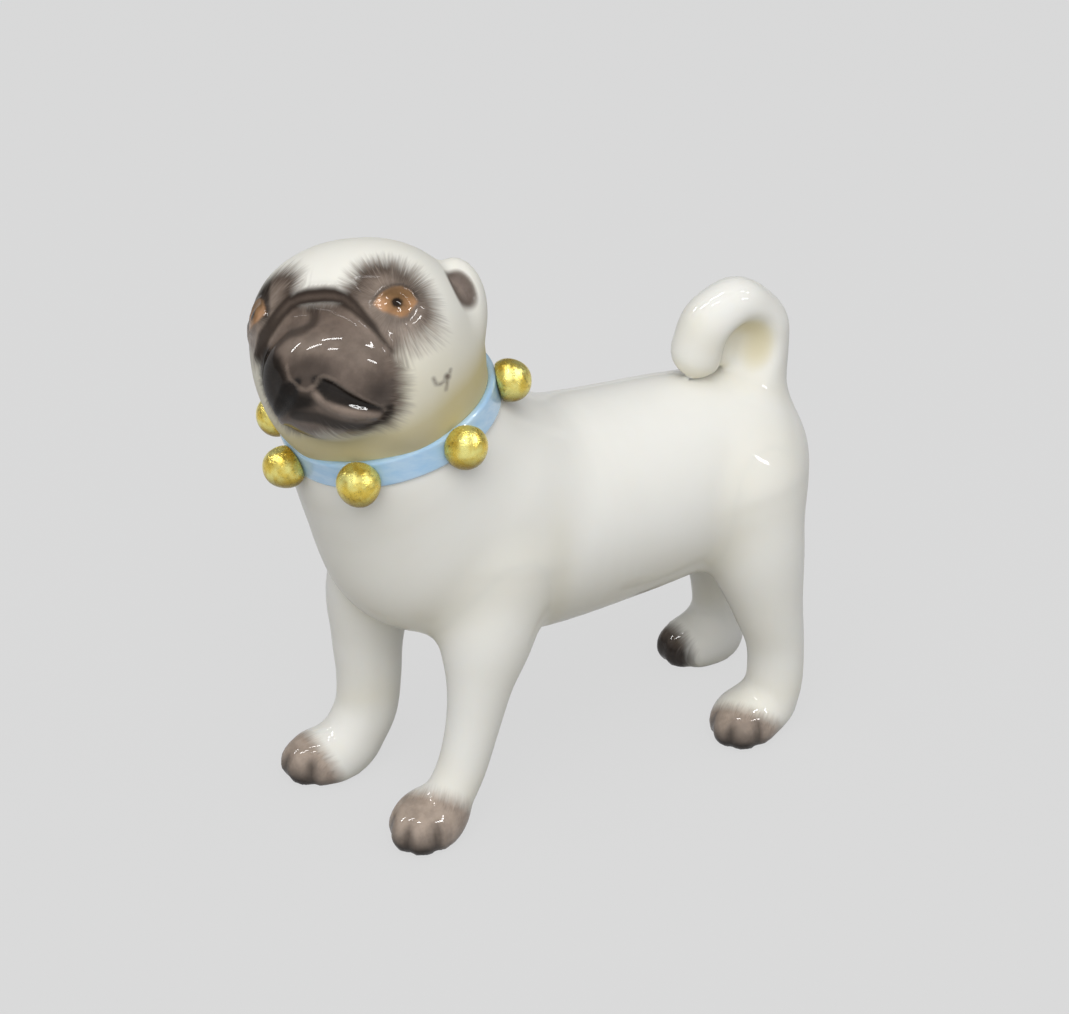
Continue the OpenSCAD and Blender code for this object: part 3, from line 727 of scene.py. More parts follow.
# The upper eyelid's rim, the rim of the ears' cups, the mole and its strokes
LID_OUT = 0.2
EAR_RIM = 0.1
EAR_RIM_WIDE = 0.3
MOLE_R = 0.9
STROKE_R = 0.4

# Cover of the fold, ears and mole: how steeply it grows, and how far it reaches past each
FOLD_COVER = 3
FOLD_MARGIN = 0.2
EAR_COVER = 6
EAR_MARGIN = 0.35
MOLE_COVER = 3.5
MOLE_FAINT = 0.7
# How much weaker the mask's cover is below the eyes
FADED = 0.45

# Hairs: how fine across, how changing along, how other on the right, and how near the eye counts
HAIR_FINE = 23
HAIR_CHANGE = 0.2
HAIR_OTHER_SIDE = 7
EYE_COUNTS = 0.75

# Gloss of the brushed hairs, what the muzzle's black paint and painted shade lose, the shiny muzzle and
# eye bags
DULL = 0.1
BLACK_LOSS = 0.45
SHINY_LOW = 8
SHINY_NARROW = 0.7
SHINY_BAG = 2.5

# Warm yellow over the white: pooled glaze and painted shade in creases; painted shade below, behind the
# shoulder and in the tail's curl; pooled glaze and painted reflection of the gold on the neck; painted
# shade and reflection under the chin
HEAD_TINT = 0.1
NECK_POOL_AND_REFLECTION_EDGE = (13, 3)
CHIN_SHADE_AND_REFLECTION_EDGE = (6, -8)
LEG_CREASE = 3.5
TAIL_CREASE = 3
SHADE_UNDER_EDGE = (-0.2, 0.9)
CURL_POOL_AND_SHADE_EDGE = (1.4, -0.4)
SHOULDER_X = 5
SHOULDER_WIDE = 2.5
SHOULDER_UP = (60, 50)

# Paws: dark tips, painted shade near the ground and grooves between the toes, by millimetres ahead and
# up; the right hind paw is darker all over with painted shade
TIPS_AHEAD = (2, 7)
TIPS_UP = (5.5, 1.2)
GROUND_SHADE_UP = (2.4, 0.5)
GROOVE_PAINT_WIDE = 5
GROOVE_UP = (6.5, 4)
# The paw darkened all over with painted shade
SHADED_PAW = "right_hind_leg"
PAW_COVER = 1.5
PAW_HAIR_FINE = 2.8
PAW_HAIR_EDGE = (4.5, 1)


def coats(paint, *layers):
    """Paint with layers over it, each a colour and its share"""
    for colour, share in layers:
        share = np.clip(share, 0, 1)[:, None]
        paint = paint * (1 - share) + colour * share
    return paint


def with_alpha(paint):
    return np.hstack([paint, np.ones((len(paint), 1))])


def spot(x, y, place, half):
    """A soft oval spot on the flat map of the face"""
    return hump(x - place[0], half[0]) * hump(y - place[1], half[1])


def from_eye(x, y):
    """Degrees across and up from the middle of the eye on the flat map"""
    eye_x, eye_y = face_spot(*EYE)
    return x - eye_x, y - eye_y


def below_eye(x, y):
    """Share of the soft, faded part of the mask below and outside each eye"""
    return fade(EYE[1] - y, *BELOW_EYE) * fade(x, *OUTSIDE_EYE) * fade(y, *ABOVE_MOLE)


def muzzle_black_and_shade(signed_x, y):
    return fade(patch_depth(signed_x, y, MUZZLE_BLACK_AND_SHADE), *BLACK_EDGE)


def mask_paint(x, y, signed_x, cover):
    """Shades of the mask: paler round the eyes and, with painted light, on the left flew; darker at its
    upper rim, the nose and the right side, where the muzzle's black is paint and painted shade
    """
    eye_away = np.hypot(*from_eye(x, y)) * DEGREE
    on_muzzle = fade(np.hypot(x, y + MUZZLE_LOW), *MUZZLE_ROUND)
    (nose_x, nose_y), (half_x, half_y) = NOSE_SHADE
    nose_away = np.hypot((signed_x - nose_x) / half_x, (y - nose_y) / half_y)
    brow = fade(x - RIGHT_BROW_LEAN * y, *RIGHT_BROW) * fade(y, *RIGHT_BROW_UP)
    return coats(
        BROWN,
        (PALE_BROWN, 0.65 * fade(eye_away, *EYE_SURROUND)),
        (FADED_BROWN, 0.6 * below_eye(x, y)),
        (DARK_BROWN, 0.55 * hump(cover - RIM_IN, RIM_WIDE) * fade(y, *BROW_UP)),
        # Painted light, with pale paint, on the left flew
        (PALE_BROWN, 0.5 * on_muzzle * spot(signed_x, y, *PALE_AND_PAINTED_LIGHT_FLEW)),
        (PALE_BROWN, 0.6 * spot(signed_x, y, *PALE_BRIDGE)),
        (DARK_BROWN, 0.7 * fade(nose_away, *NOSE_SHADE_EDGE)),
        (DARK_BROWN, 0.75 * spot(signed_x, y, *DARK_CORNER)),
        # Black paint and painted shade on the muzzle's right side
        (NEAR_BLACK, 0.95 * muzzle_black_and_shade(signed_x, y)),
        (NEAR_BLACK, 0.9 * (signed_x < 0) * brow),
    )


def line_paint(paint, x, y, signed_x):
    """Lines of the folds, lips and mouth over the mask, with a painted highlight on the fold's crest and
    on the lower lip, and painted shade in the right crease
    """
    fold, fold_wide = line_distance(x, y, FOLD, FOLD_WIDE)
    fold_wide = np.where(signed_x < 0, np.maximum(fold_wide, RIGHT_FOLD_WIDE), fold_wide)
    crease = line_distance(signed_x, y, RIGHT_CREASE)
    chin = line_distance(signed_x, y, CHIN_LINE)
    beside = muzzle_side(signed_x)
    lower, lower_wide = line_distance(beside, y, LOWER_LIP, LOWER_LIP_WIDE)
    mouth, mouth_wide = line_distance(beside, y, MOUTH, MOUTH_WIDE)
    upper = line_distance(signed_x, y, UPPER_LIP)
    on_left = fade(signed_x, *LEFT_OF_NOSE)
    return coats(
        paint,
        (DARK_BROWN, 0.92 * fade(fold - fold_wide, *FOLD_EDGE)),
        # Painted highlight along the crest of the fold
        (BROWN, 0.45 * hump(fold, FOLD_HIGHLIGHT_WIDE) * fade(x, *FOLD_HIGHLIGHT_END)),
        # Dark paint and painted shade in the crease on the right
        (DARK_BROWN, 0.7 * fade(crease, *CREASE_SHADE_EDGE)),
        (NEAR_BLACK, 0.8 * fade(chin, *CHIN_EDGE)),
        # Lower lip: pale paint and painted highlight, on the left of the nose only
        (LIP_AND_HIGHLIGHT, 0.8 * on_left * fade(lower - lower_wide, *LOWER_LIP_EDGE)),
        (NEAR_BLACK, 0.95 * fade(mouth - mouth_wide, *MOUTH_EDGE)),
        (LIP_AND_HIGHLIGHT, 0.4 * fade(upper, *UPPER_LIP_EDGE)),
    )


def eye_paint(paint, x, y):
    """Eyes over the mask: orange-brown, darker above and with a soft upper rim, both partly paint and
    partly painted shade of the lid, and a pupil
    """
    across, up = from_eye(x, y)
    away = np.hypot(across, up) * DEGREE
    depth = patch_depth(x, y, EYE_OUTLINE)
    iris = fade(depth, *IRIS_EDGE)
    lid_shade = fade(up, *LID_SHADE_EDGE)
    return coats(
        paint,
        # Dark paint and painted shade of the lid over the upper rim and the upper iris
        (DARK_BROWN, 0.6 * lid_shade * fade(np.abs(depth + LID_OUT), *LID_EDGE)),
        (IRIS, iris),
        (IRIS_CORNER, iris * fade(across, *EYE_CORNER)),
        (IRIS_DARK, 0.8 * lid_shade * iris),
        (IRIS_DARK, 0.5 * fade(away, *IRIS_RING)),
        (NEAR_BLACK, 0.95 * fade(away, *PUPIL_EDGE)),
    )


def mask_cover(q, x, y, signed_x):
    """Millimetres inside the mask and the lines of the fold, negative outside"""
    cover = patch_depth(muzzle_side(signed_x), y, both_halves(MASK)) - MASK_IN
    cover = cover * (1 - FADED * below_eye(x, y))
    fold, wide = line_distance(x, y, FOLD, FOLD_WIDE)
    cover = np.maximum(cover, FOLD_COVER * (wide + FOLD_MARGIN - fold))
    ahead = fade(q[0], *MASK_BACK)
    return cover * ahead + UNPAINTED * (1 - ahead)


def mole_depth(x, y):
    """Millimetres inside the mole and its strokes on the left cheek, negative outside"""
    mole_x, mole_y = face_spot(*MOLE)
    strokes = np.maximum.reduce([STROKE_R - line_distance(x, y, line) for line in WHISKERS])
    return np.maximum(strokes, MOLE_R - np.hypot(x - mole_x, y - mole_y) * DEGREE)


def head_gloss(x, y, signed_x):
    """Share of the glaze: the brushed hairs are duller than the muzzle and the eyes"""
    muzzle = fade(np.hypot(SHINY_NARROW * x, y + SHINY_LOW), *SHINY_MUZZLE)
    eye = fade(patch_depth(x, y, EYE_OUTLINE), *SHINY_EYE)
    bag = hump(line_distance(x, y, EYE_BAG), SHINY_BAG)
    shiny = DULL + (1 - DULL) * np.maximum.reduce([muzzle, eye, bag])
    return shiny * (1 - BLACK_LOSS * muzzle_black_and_shade(signed_x, y))


def hair_strokes(x, y, right):
    """Places in the hairs' noise: hairs run away from the nearer of the eye and the muzzle's middle"""
    eye_x, eye_y = from_eye(x, y)
    middle_x, middle_y = face_spot(0, -MUZZLE_LOW)
    muzzle_x, muzzle_y = x - middle_x, y - middle_y
    near_eye = np.hypot(eye_x, eye_y) < EYE_COUNTS * np.hypot(muzzle_x, muzzle_y)
    across = np.where(near_eye, eye_x, muzzle_x)
    up = np.where(near_eye, eye_y, muzzle_y)
    away = np.maximum(np.hypot(across, up), 1e-6)
    along = away * DEGREE * HAIR_CHANGE + HAIR_OTHER_SIDE * right
    return np.stack([across / away * HAIR_FINE, up / away * HAIR_FINE, along], 1)


def hair_share(x, y, cover, cup, mole):
    """Share of the hairs: thinner in thick paint, none on the muzzle, eyes, fold, ears and mole"""
    fold, wide = line_distance(x, y, FOLD, FOLD_WIDE)
    on_muzzle = fade(np.hypot(x, y + MUZZLE_LOW), *SMOOTH_MUZZLE) * fade(cover, *SMOOTH_PAINT)
    in_eye = fade(patch_depth(x, y, EYE_OUTLINE), *BARE_EYE)
    on_fold = fade(fold - wide, *BARE_FOLD)
    in_ear = fade(cup, *BARE_EAR)
    on_mole = fade(mole, *BARE_MOLE)
    share = 1 - 0.5 * fade(cover, *THICK_PAINT)
    for bare in (0.95 * on_muzzle, in_eye, on_fold, in_ear, on_mole):
        share = share * (1 - bare)
    return share


def head_paint(points, normals):
    q = in_head(points.T)
    signed_x, y = flat_face(q)
    x = np.abs(signed_x)
    right = signed_x < 0
    cover = mask_cover(q, x, y, signed_x)
    paint = mask_paint(x, y, signed_x, cover)
    paint = line_paint(paint, x, y, signed_x)
    paint = eye_paint(paint, x, y)
    cup = ear_cup(q)
    ear_rim = 0.5 * hump(cup - EAR_RIM, EAR_RIM_WIDE)
    paint = coats(paint, (EAR_BROWN, fade(cup, *EAR_EDGE)), (DARK_BROWN, ear_rim))
    mole = np.where(right, UNPAINTED, mole_depth(x, y))
    cover = np.maximum.reduce([cover, (EAR_MARGIN - cup) * EAR_COVER, mole * MOLE_COVER - MOLE_FAINT])
    # Pooled glaze and painted reflection of the gold near the collar, painted shade and reflection under
    # the chin, over a warm base
    glaze_pool_and_shade = fade(above_joint(points.T), *NECK_POOL_AND_REFLECTION_EDGE) + HEAD_TINT
    glaze_pool_and_shade = glaze_pool_and_shade + 0.35 * fade(q[2], *CHIN_SHADE_AND_REFLECTION_EDGE)
    return {
        "paint": with_alpha(paint),
        "cover": cover,
        "glaze_pool_and_shade": np.clip(glaze_pool_and_shade, 0, 1),
        "hair": hair_strokes(x, y, right),
        "hairy": hair_share(x, y, cover, cup, mole),
        "gloss": head_gloss(x, y, signed_x),
    }


def body_paint(points, normals):
    p = points.T
    count = len(points)
    torso = torso_field(p)
    # Pooled glaze and painted shade in the creases; painted shade on faces that look down, behind the
    # shoulder and in the tail's curl
    creases = [hump(leg_field(p, name) - torso, LEG_CREASE) for name in LEGS]
    creases.append(0.9 * hump(tail_root_field(p) - torso, TAIL_CREASE))
    under = fade(-normals[:, 2], *SHADE_UNDER_EDGE)
    in_curl = fade(tail_dent(p), *CURL_POOL_AND_SHADE_EDGE)
    behind_shoulder = hump(p[0] - SHOULDER_X, SHOULDER_WIDE) * fade(p[2], *SHOULDER_UP)
    glaze_pool_and_shade = 0.13 * np.maximum.reduce(creases) + 0.1 * behind_shoulder + 0.35 * under + 0.85 * in_curl
    return {
        "paint": with_alpha(np.tile(BROWN, (count, 1))),
        "cover": np.full(count, UNPAINTED),
        "glaze_pool_and_shade": np.clip(glaze_pool_and_shade, 0, 1),
        "hair": np.zeros((count, 3)),
        "hairy": np.zeros(count),
        "gloss": np.ones(count),
    }


def leg_paint(name):
    """The paint of one leg, with its paw"""
    end, lean = PAW_PAINT[name]
    # The right hind paw is darkened all over as painted shade
    paw_shade = 0.75 if name == SHADED_PAW else 0

    def paint_leg(points, normals):
        values = body_paint(points, normals)
        ahead, aside, up = in_paw(points.T, name)
        cover = PAW_COVER * (ahead - end - lean * up) / math.hypot(1, lean)
        tips = fade(ahead, *TIPS_AHEAD) * fade(up, *TIPS_UP)
        ground_shade = fade(up, *GROUND_SHADE_UP)
        # Dark tips, painted shade near the ground, and painted shade over the whole right hind paw
        dark = 0.85 * tips + 0.45 * ground_shade + paw_shade
        angle = toe_angle(ahead, aside)
        groove = np.maximum.reduce([hump(angle - g, GROOVE_PAINT_WIDE) for g in TOE_GROOVES])
        groove = groove * fade(ahead, *TOE_AHEAD) * fade(up, *GROOVE_UP)
        paint = coats(PAW_BROWN, (DARK_BROWN, dark), (DARK_BROWN, 0.7 * groove))
        values["paint"] = with_alpha(paint)
        values["cover"] = np.where((up < PAW_TOP) & (up > BARE_SOLE), cover, UNPAINTED)
        values["hair"] = np.stack([aside * PAW_HAIR_FINE, 0 * aside, (ahead - up) * HAIR_CHANGE], 1)
        values["hairy"] = 0.6 * fade(cover, *PAW_HAIR_EDGE)
        return values
    return paint_leg


# Materials

class Shader:
    """Short calls for the nodes of a material or the world"""

    def __init__(self, owner):
        owner.use_nodes = True
        self.owner = owner
        self.tree = owner.node_tree
        self.principled = self.tree.nodes.get("Principled BSDF")

    def node(self, kind, **settings):
        made = self.tree.nodes.new(kind)
        for key, value in settings.items():
            setattr(made, key, value)
        return made

    def put(self, value, socket):
        if isinstance(value, bpy.types.NodeSocket):
            self.tree.links.new(value, socket)
        else:
            socket.default_value = value

    def fill(self, made, *values):
        for value, socket in zip(values, made.inputs):
            self.put(value, socket)
        return made

    def set(self, made, **values):
        for key, value in values.items():
            self.put(value, made.inputs[key.replace("_", " ")])

    def math(self, operation, a, b):
        return self.fill(self.node("ShaderNodeMath", operation=operation), a, b).outputs[0]

    def times(self, a, b):
        return self.math("MULTIPLY", a, b)

    def mix(self, amount, a, b):
        made = self.node("ShaderNodeMix", data_type="RGBA")
        self.put(amount, made.inputs[0])
        self.put(a, made.inputs[6])
        self.put(b, made.inputs[7])
        return made.outputs[2]

    def step(self, value, low, high):
        made = self.node("ShaderNodeMapRange", interpolation_type="SMOOTHSTEP")
        return self.fill(made, value, low, high).outputs[0]

    def noise(self, vector, scale, detail, roughness):
        made = self.node("ShaderNodeTexNoise")
        self.set(made, Vector=vector, Scale=scale, Detail=detail, Roughness=roughness)
        return made.outputs["Fac"]

    def attribute(self, name, output):
        return self.node("ShaderNodeAttribute", attribute_name=name).outputs[output]

    def place(self):
        return self.node("ShaderNodeTexCoord").outputs["Object"]

    def bump(self, height, strength, distance):
        made = self.node("ShaderNodeBump")
        self.set(made, Strength=strength, Distance=distance, Height=height)
        self.set(self.principled, Normal=made.outputs[0])


def rgba(colour):
    return tuple(linear(colour)) + (1.0,)


# Colours of the glaze, the hairs, the enamel and the gold
WHITE = rgba((240, 239, 233))
SHADED_WHITE = rgba((234, 232, 224))
# Yellow of pooled glaze, also used for painted shade and painted reflection
POOLED_GLAZE_AND_SHADE = rgba((214, 199, 142))
BRUSHED_BROWN = rgba((52, 44, 39))
PALE_HAIR = rgba((205, 192, 178))
DARK_HAIR = rgba((62, 52, 46))
ENAMEL_BLUE = rgba((166, 208, 242))
PALE_ENAMEL = rgba((194, 224, 248))
GOLD = rgba((255, 246, 152))
WORN_GOLD = rgba((238, 208, 92))
SMUDGED_GOLD = rgba((92, 70, 22))
# Brown of the painted shade on the lower half of each bell
PAINTED_SHADE_GOLD = rgba((96, 72, 24))

# Noise of each surface: scale, detail and roughness
STROKE_NOISE = (1.0, 2.0, 0.55)
FINE_HAIR_NOISE = (2.3, 1.0, 0.5)
CLOUD_NOISE = (60.0, 3.0, 0.6)
BRUSH_NOISE = (420.0, 3.0, 0.6)
RIPPLE_NOISE = (170.0, 2.0, 0.5)
ENAMEL_NOISE = (220.0, 3.0, 0.6)
MOTTLE_NOISE = (1500.0, 4.0, 0.7)
WEAR_NOISE = (420.0, 2.0, 0.55)

# Hairs' reach past the paint's edge, how soft that edge is, and the collar's flat strokes
HAIR_REACH = 3.6
COVER_EDGE = (-2.2, 2.4)
FLAT_STROKES = (1, 1, 3)


def porcelain_material():
    s = Shader(bpy.data.materials.new("glazed_porcelain"))
    place = s.place()
    # White body under the glaze, warmer where the glaze pools and where shade and the gold's reflection
    # are painted
    cloud = s.noise(place, *CLOUD_NOISE)
    white = s.mix(cloud, WHITE, SHADED_WHITE)
    pooled_and_shaded = s.times(s.attribute("glaze_pool_and_shade", "Fac"), s.math("ADD", 0.55, s.times(cloud, 0.5)))
    white = s.mix(pooled_and_shaded, white, POOLED_GLAZE_AND_SHADE)
    # Hair strokes carry the paint past its edge and vary it inside
    hair = s.attribute("hair", "Vector")
    hairy = s.attribute("hairy", "Fac")
    strokes = s.noise(hair, *STROKE_NOISE)
    fine = s.noise(hair, *FINE_HAIR_NOISE)
    ragged = s.times(s.math("SUBTRACT", strokes, 0.5), s.times(hairy, HAIR_REACH))
    cover = s.step(s.math("ADD", s.attribute("cover", "Fac"), ragged), *COVER_EDGE)
    brushed = s.step(s.noise(place, *BRUSH_NOISE), 0.3, 0.7)
    colour = s.mix(s.times(brushed, 0.3), s.attribute("paint", "Color"), BRUSHED_BROWN)
    pale = s.times(s.times(s.step(strokes, 0.45, 0.75), hairy), 0.22)
    dark = s.times(s.times(s.step(fine, 0.5, 0.68), hairy), 0.4)
    haired = s.mix(dark, s.mix(pale, colour, PALE_HAIR), DARK_HAIR)
    s.set(s.principled, Base_Color=s.mix(cover, white, haired), Roughness=0.4, Specular_IOR_Level=0.0)
    coat = s.times(s.attribute("gloss", "Fac"), 0.5)
    s.set(s.principled, Coat_Weight=coat, Coat_Roughness=0.03, Coat_IOR=1.48)
    s.set(s.principled, Subsurface_Weight=0.12, Subsurface_Scale=0.001)
    s.set(s.principled, Subsurface_Radius=(1.0, 0.8, 0.6))
    s.bump(s.noise(place, *RIPPLE_NOISE), 0.06, 0.0006)
    return s.owner


def enamel_material():
    s = Shader(bpy.data.materials.new("blue_enamel"))
    flat = s.node("ShaderNodeMapping")
    s.set(flat, Vector=s.place(), Scale=FLAT_STROKES)
    brushed = s.noise(flat.outputs[0], *ENAMEL_NOISE)
    blue = s.mix(s.step(brushed, 0.3, 0.75), ENAMEL_BLUE, PALE_ENAMEL)
    s.set(s.principled, Base_Color=blue, Roughness=0.25, Coat_Weight=1.0, Coat_Roughness=0.04)
    s.bump(brushed, 0.1, 0.0004)
    return s.owner


def gilding_material():
    s = Shader(bpy.data.materials.new("burnished_gold"))
    place = s.place()
    mottle = s.noise(place, *MOTTLE_NOISE)
    worn = s.noise(place, *WEAR_NOISE)
    gold = s.mix(s.step(worn, 0.35, 0.65), GOLD, WORN_GOLD)
    smudge = s.times(s.step(mottle, 0.5, 0.72), s.step(worn, 0.38, 0.6))
    gold = s.mix(s.times(smudge, 0.7), gold, SMUDGED_GOLD)
    # Painted shade and painted dark reflection: browner on the lower half of each bell
    turned = s.node("ShaderNodeSeparateXYZ")
    s.put(s.node("ShaderNodeTexCoord").outputs["Normal"], turned.inputs[0])
    lower = s.step(turned.outputs["Z"], 0.2, -0.7)
    gold = s.mix(s.times(lower, 0.75), gold, PAINTED_SHADE_GOLD)
    rough = s.math("ADD", 0.16, s.times(mottle, 0.25))
    s.set(s.principled, Base_Color=gold, Metallic=0.9, Roughness=rough)
    s.bump(s.math("ADD", mottle, s.times(worn, 2.0)), 0.4, 0.0003)
    return s.owner


# Pieces

def glazed_pieces(material):
    points, normals, faces = skin(body_field, *BODY_SPACE, BODY_GRID)
    middles = points[faces].mean(1).T
    names = ["body", *LEGS, "tail"]
    legs = [leg_field(middles, name) for name in LEGS]
    tail = np.minimum(tail_root_field(middles), tail_curl_field(middles))
    near = [torso_field(middles), *legs, tail]
    nearest = np.argmin(near, axis=0)
    for i, name in enumerate(names):
        paint = leg_paint(name) if name in LEGS else body_paint
        make_piece(name, points, normals, faces[nearest == i], paint, material)
    points, normals, faces = skin(head_field, *HEAD_SPACE, HEAD_GRID)
    q = in_head(points[faces].mean(1).T)
    is_ear = ear_field(q) < face_field(q)
    on_left = q[1] > 0
    parts = {"head": ~is_ear, "left_ear": is_ear & on_left, "right_ear": is_ear & ~on_left}
    for name, chosen in parts.items():
        make_piece(name, points, normals, faces[chosen], head_paint, material)


def dress_collar():
    collar = frame["nodes"]["collar"]
    collar.data.materials.clear()
    collar.data.materials.append(enamel_material())


def bell_shape(number):
    """Points and faces of a pressed ball with a flat back and soft dents, its pole along +Z"""
    tilt = number * BELL_TILT
    points = []
    for i in range(BELL_RINGS + 1):
        slope = math.pi * i / BELL_RINGS
        for j in range(BELL_AROUND):
            turn = 2 * math.pi * j / BELL_AROUND
            dent = math.sin(2 * turn + tilt) * math.sin(slope) + math.sin(3 * slope + turn + 2 * tilt)
            r = BELL_R * (1 + BELL_DENT * dent * math.sin(slope))
            across = r * math.sin(slope)
            z = max(r * math.cos(slope), BELL_FLAT - BELL_R)
            points.append((across * math.cos(turn), across * math.sin(turn), z))
    faces = []
    for i in range(BELL_RINGS):
        for j in range(BELL_AROUND):
            a = i * BELL_AROUND + j
            b = i * BELL_AROUND + (j + 1) % BELL_AROUND
            faces.append((a, a + BELL_AROUND, b + BELL_AROUND, b))
    return points, faces


def bell_mesh(number, angle):
    """The mesh of one bell in its place on the collar, in metres"""
    points, faces = bell_shape(number)
    mesh = bpy.data.meshes.new(f"gilded_bell_{number}")
    mesh.from_pydata(points, [], faces)
    bearing = math.radians(angle)
    out = math.cos(bearing) * NECK_AHEAD + math.sin(bearing) * NECK_LEFT
    turn = Vector(out).to_track_quat("Z", "Y").to_matrix().to_4x4()
    middle = Matrix.Translation(NECK_AT + BELL_AT_R * out)
    mesh.transform(Matrix.Scale(MM, 4) @ middle @ turn)
    weld = bmesh.new()
    weld.from_mesh(mesh)
    bmesh.ops.remove_doubles(weld, verts=weld.verts, dist=BELL_WELD * MM)
    bmesh.ops.recalc_face_normals(weld, faces=weld.faces)
    weld.to_mesh(mesh)
    weld.free()
    mesh.shade_smooth()
    return mesh


def add_bells():
    gold = gilding_material()
    for number, angle in enumerate(BELL_ANGLES, 1):
        mesh = bell_mesh(number, angle)
        mesh.materials.append(gold)
        piece = add_object(f"gilded_bell_{number}", mesh)
        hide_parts(f"bell_{number}")
        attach(piece, "root")


# Studio

# Camera: the photograph's width in pixels, what it looks at, its angles, distance and scale
PHOTO_WIDE = 1069
TARGET = np.array((4.1, 7.4, 50))
AZIMUTH = math.radians(149.5)
ELEVATION = math.radians(28)
DISTANCE = 480
PIXELS_PER_MM = 6.46
SENSOR = 36
CLIP_START = 0.01
BACK = np.array((math.sin(AZIMUTH) * math.cos(ELEVATION), -math.cos(AZIMUTH) * math.cos(ELEVATION),
                 math.sin(ELEVATION)))
RIGHT = np.array((math.cos(AZIMUTH), math.sin(AZIMUTH), 0))
UP = np.cross(BACK, RIGHT)


def unit(vector):
    return vector / np.linalg.norm(vector)


def placed(across, lid_shade, out, at):
    """The place of an object whose own axes run across, above and out, in metres"""
    rows = [[across[i], lid_shade[i], out[i], at[i]] for i in range(3)]
    return Matrix(rows + [[0, 0, 0, 1]])


def add_camera():
    data = bpy.data.cameras.new("camera")
    data.sensor_fit = "HORIZONTAL"
    data.sensor_width = SENSOR
    data.lens = SENSOR * PIXELS_PER_MM * DISTANCE / PHOTO_WIDE
    data.clip_start = CLIP_START
    camera = add_object("camera", data)
    camera.matrix_world = placed(RIGHT, UP, BACK, (TARGET + DISTANCE * BACK) * MM)
    bpy.context.scene.camera = camera


def add_light(name, place, size, power):
    """An area light that faces the pug from a place along the camera's right, up and back, in metres"""
    data = bpy.data.lights.new(name, "AREA")
    data.shape = "RECTANGLE"
    data.size = size[0]
    data.size_y = size[1]
    data.energy = power
    out = RIGHT * place[0] + UP * place[1] + BACK * place[2]
    facing = unit(out)
    across = unit(RIGHT - (RIGHT @ facing) * facing)
    light = add_object(name, data)
    light.matrix_world = placed(across, np.cross(facing, across), facing, TARGET * MM + out)
    return light


# Lights: name, place along the camera's right, up and back, and watts or, for a tube, length
SOFT_LIGHTS = [("key", (-0.1, 1.0, 0.8), 2.1), ("front", (-0.05, 0.4, 1.15), 5.8)]
SOFT_SIZE = (0.9, 0.7)
TUBES = [("tube_far_left", (-0.85, 0.7, 0.05), 0.25), ("tube_left", (-0.58, 0.82, 0.45), 0.38),
         ("tube_top", (-0.2, 1.05, 0.4), 0.45), ("tube_middle", (-0.18, 0.85, 0.75), 0.25),
         ("tube_right", (0.7, 0.8, 0.35), 0.35), ("tube_low_right", (0.8, 0.43, 0.58), 0.3)]
TUBE_WIDE = 0.05
TUBE_POWER = 6
LAMP_AT = (-0.3, 0.5, 0.9)
LAMP_SIZE = (0.3, 0.3)
LAMP_POWER = 1.2

# Surroundings: where they are brightest, how that fades, their strength and colour
WORLD_SIDE = BACK - 0.05 * RIGHT - 0.25 * UP
WORLD_FADE = (-0.4, 0.9)
WORLD_FAR = 0.25
WORLD_NEAR = 0.95
WORLD_IN_GLAZE = 0.75
WORLD_COLOUR = (0.97, 0.98, 1, 1)


def add_world():
    """Pale surroundings, brightest in front of the pug and dimmer in reflections"""
    s = Shader(bpy.data.worlds.new("studio"))
    facing = s.node("ShaderNodeVectorMath", operation="DOT_PRODUCT")
    s.fill(facing, s.node("ShaderNodeTexCoord").outputs["Generated"], unit(WORLD_SIDE))
    bright = s.node("ShaderNodeMapRange")
    s.fill(bright, facing.outputs["Value"], *WORLD_FADE, WORLD_FAR, WORLD_NEAR)
    glossy = s.node("ShaderNodeLightPath").outputs["Is Glossy Ray"]
    dim = s.math("SUBTRACT", 1, s.times(glossy, 1 - WORLD_IN_GLAZE))
    strength = s.times(bright.outputs[0], dim)
    s.set(s.tree.nodes["Background"], Color=WORLD_COLOUR, Strength=strength)
    bpy.context.scene.world = s.owner


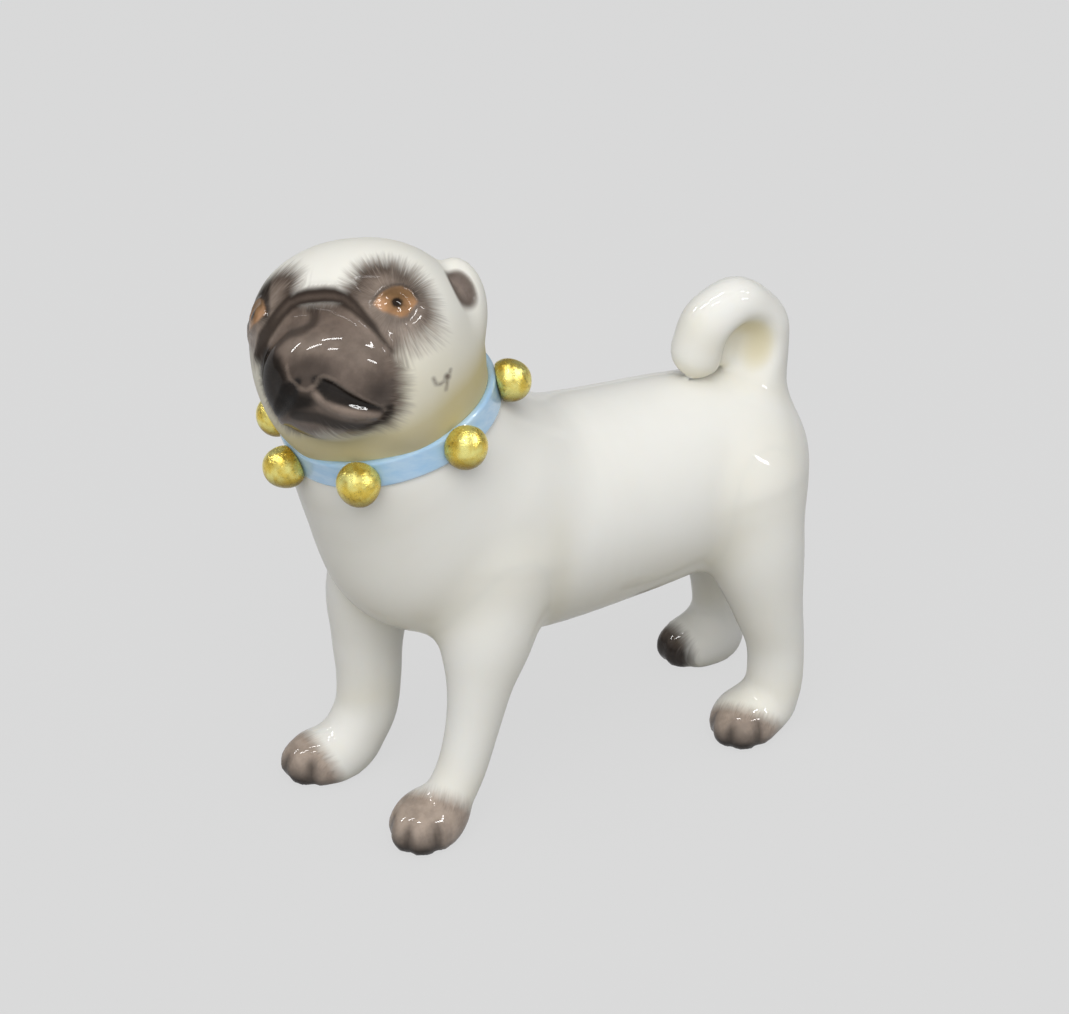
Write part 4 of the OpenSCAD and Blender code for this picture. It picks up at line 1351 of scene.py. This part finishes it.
def add_studio():
    streaked = bpy.data.collections.new("streaked")
    gilded = bpy.data.collections.new("gilded")
    for piece in bpy.context.scene.objects:
        if piece.type == "MESH" and piece.name != "glazed_body":
            streaked.objects.link(piece)
        if piece.name.startswith("gilded_bell"):
            gilded.objects.link(piece)
    for name, place, power in SOFT_LIGHTS:
        soft_light = add_light(name, place, SOFT_SIZE, power)
        soft_light.visible_glossy = False
    # Tubes above and beside the pug, which show only as streaks in the glaze
    for name, place, length in TUBES:
        tube_light = add_light(name, place, (length, TUBE_WIDE), TUBE_POWER * length)
        tube_light.visible_diffuse = False
        tube_light.light_linking.receiver_collection = streaked
    # A soft lamp near the camera that shows as the bright spot on each bell
    lamp = add_light("lamp", LAMP_AT, LAMP_SIZE, LAMP_POWER)
    lamp.light_linking.receiver_collection = gilded
    add_world()


# Floor: size and drop below the soles in metres, the grey that is seen, and the light that it scatters
FLOOR_SIZE = 6
FLOOR_DROP = 0.0002
FLOOR_GREY = linear((217, 217, 217))[0]
FLOOR_SEEN = 0.93
FLOOR_BOUNCE = 0.3
FLOOR_SHADE = 0.06


def grey(level):
    return level, level, level, 1


def add_floor():
    """A pale floor, even for the camera, that throws the light on it back at the pug"""
    bpy.ops.mesh.primitive_plane_add(size=FLOOR_SIZE, location=(0, 0, -FLOOR_DROP))
    floor = bpy.context.object
    floor.name = "floor"
    s = Shader(bpy.data.materials.new("pale_floor"))
    s.tree.nodes.remove(s.principled)
    path = s.node("ShaderNodeLightPath")
    rays = s.math("MAXIMUM", path.outputs["Is Camera Ray"], path.outputs["Is Transmission Ray"])
    rays = s.math("MAXIMUM", rays, path.outputs["Is Glossy Ray"])
    glow = s.node("ShaderNodeEmission")
    s.set(glow, Color=grey(FLOOR_GREY), Strength=s.times(rays, FLOOR_SEEN))
    matt = s.node("ShaderNodeBsdfDiffuse")
    s.set(matt, Color=s.mix(rays, grey(FLOOR_BOUNCE), grey(FLOOR_SHADE)))
    both = s.fill(s.node("ShaderNodeAddShader"), glow.outputs[0], matt.outputs[0])
    s.set(s.tree.nodes["Material Output"], Surface=both.outputs[0])
    floor.data.materials.append(s.owner)


add_camera()
glazed_pieces(porcelain_material())
dress_collar()
add_bells()
add_studio()
add_floor()
bpy.context.scene.view_settings.view_transform = "Standard"
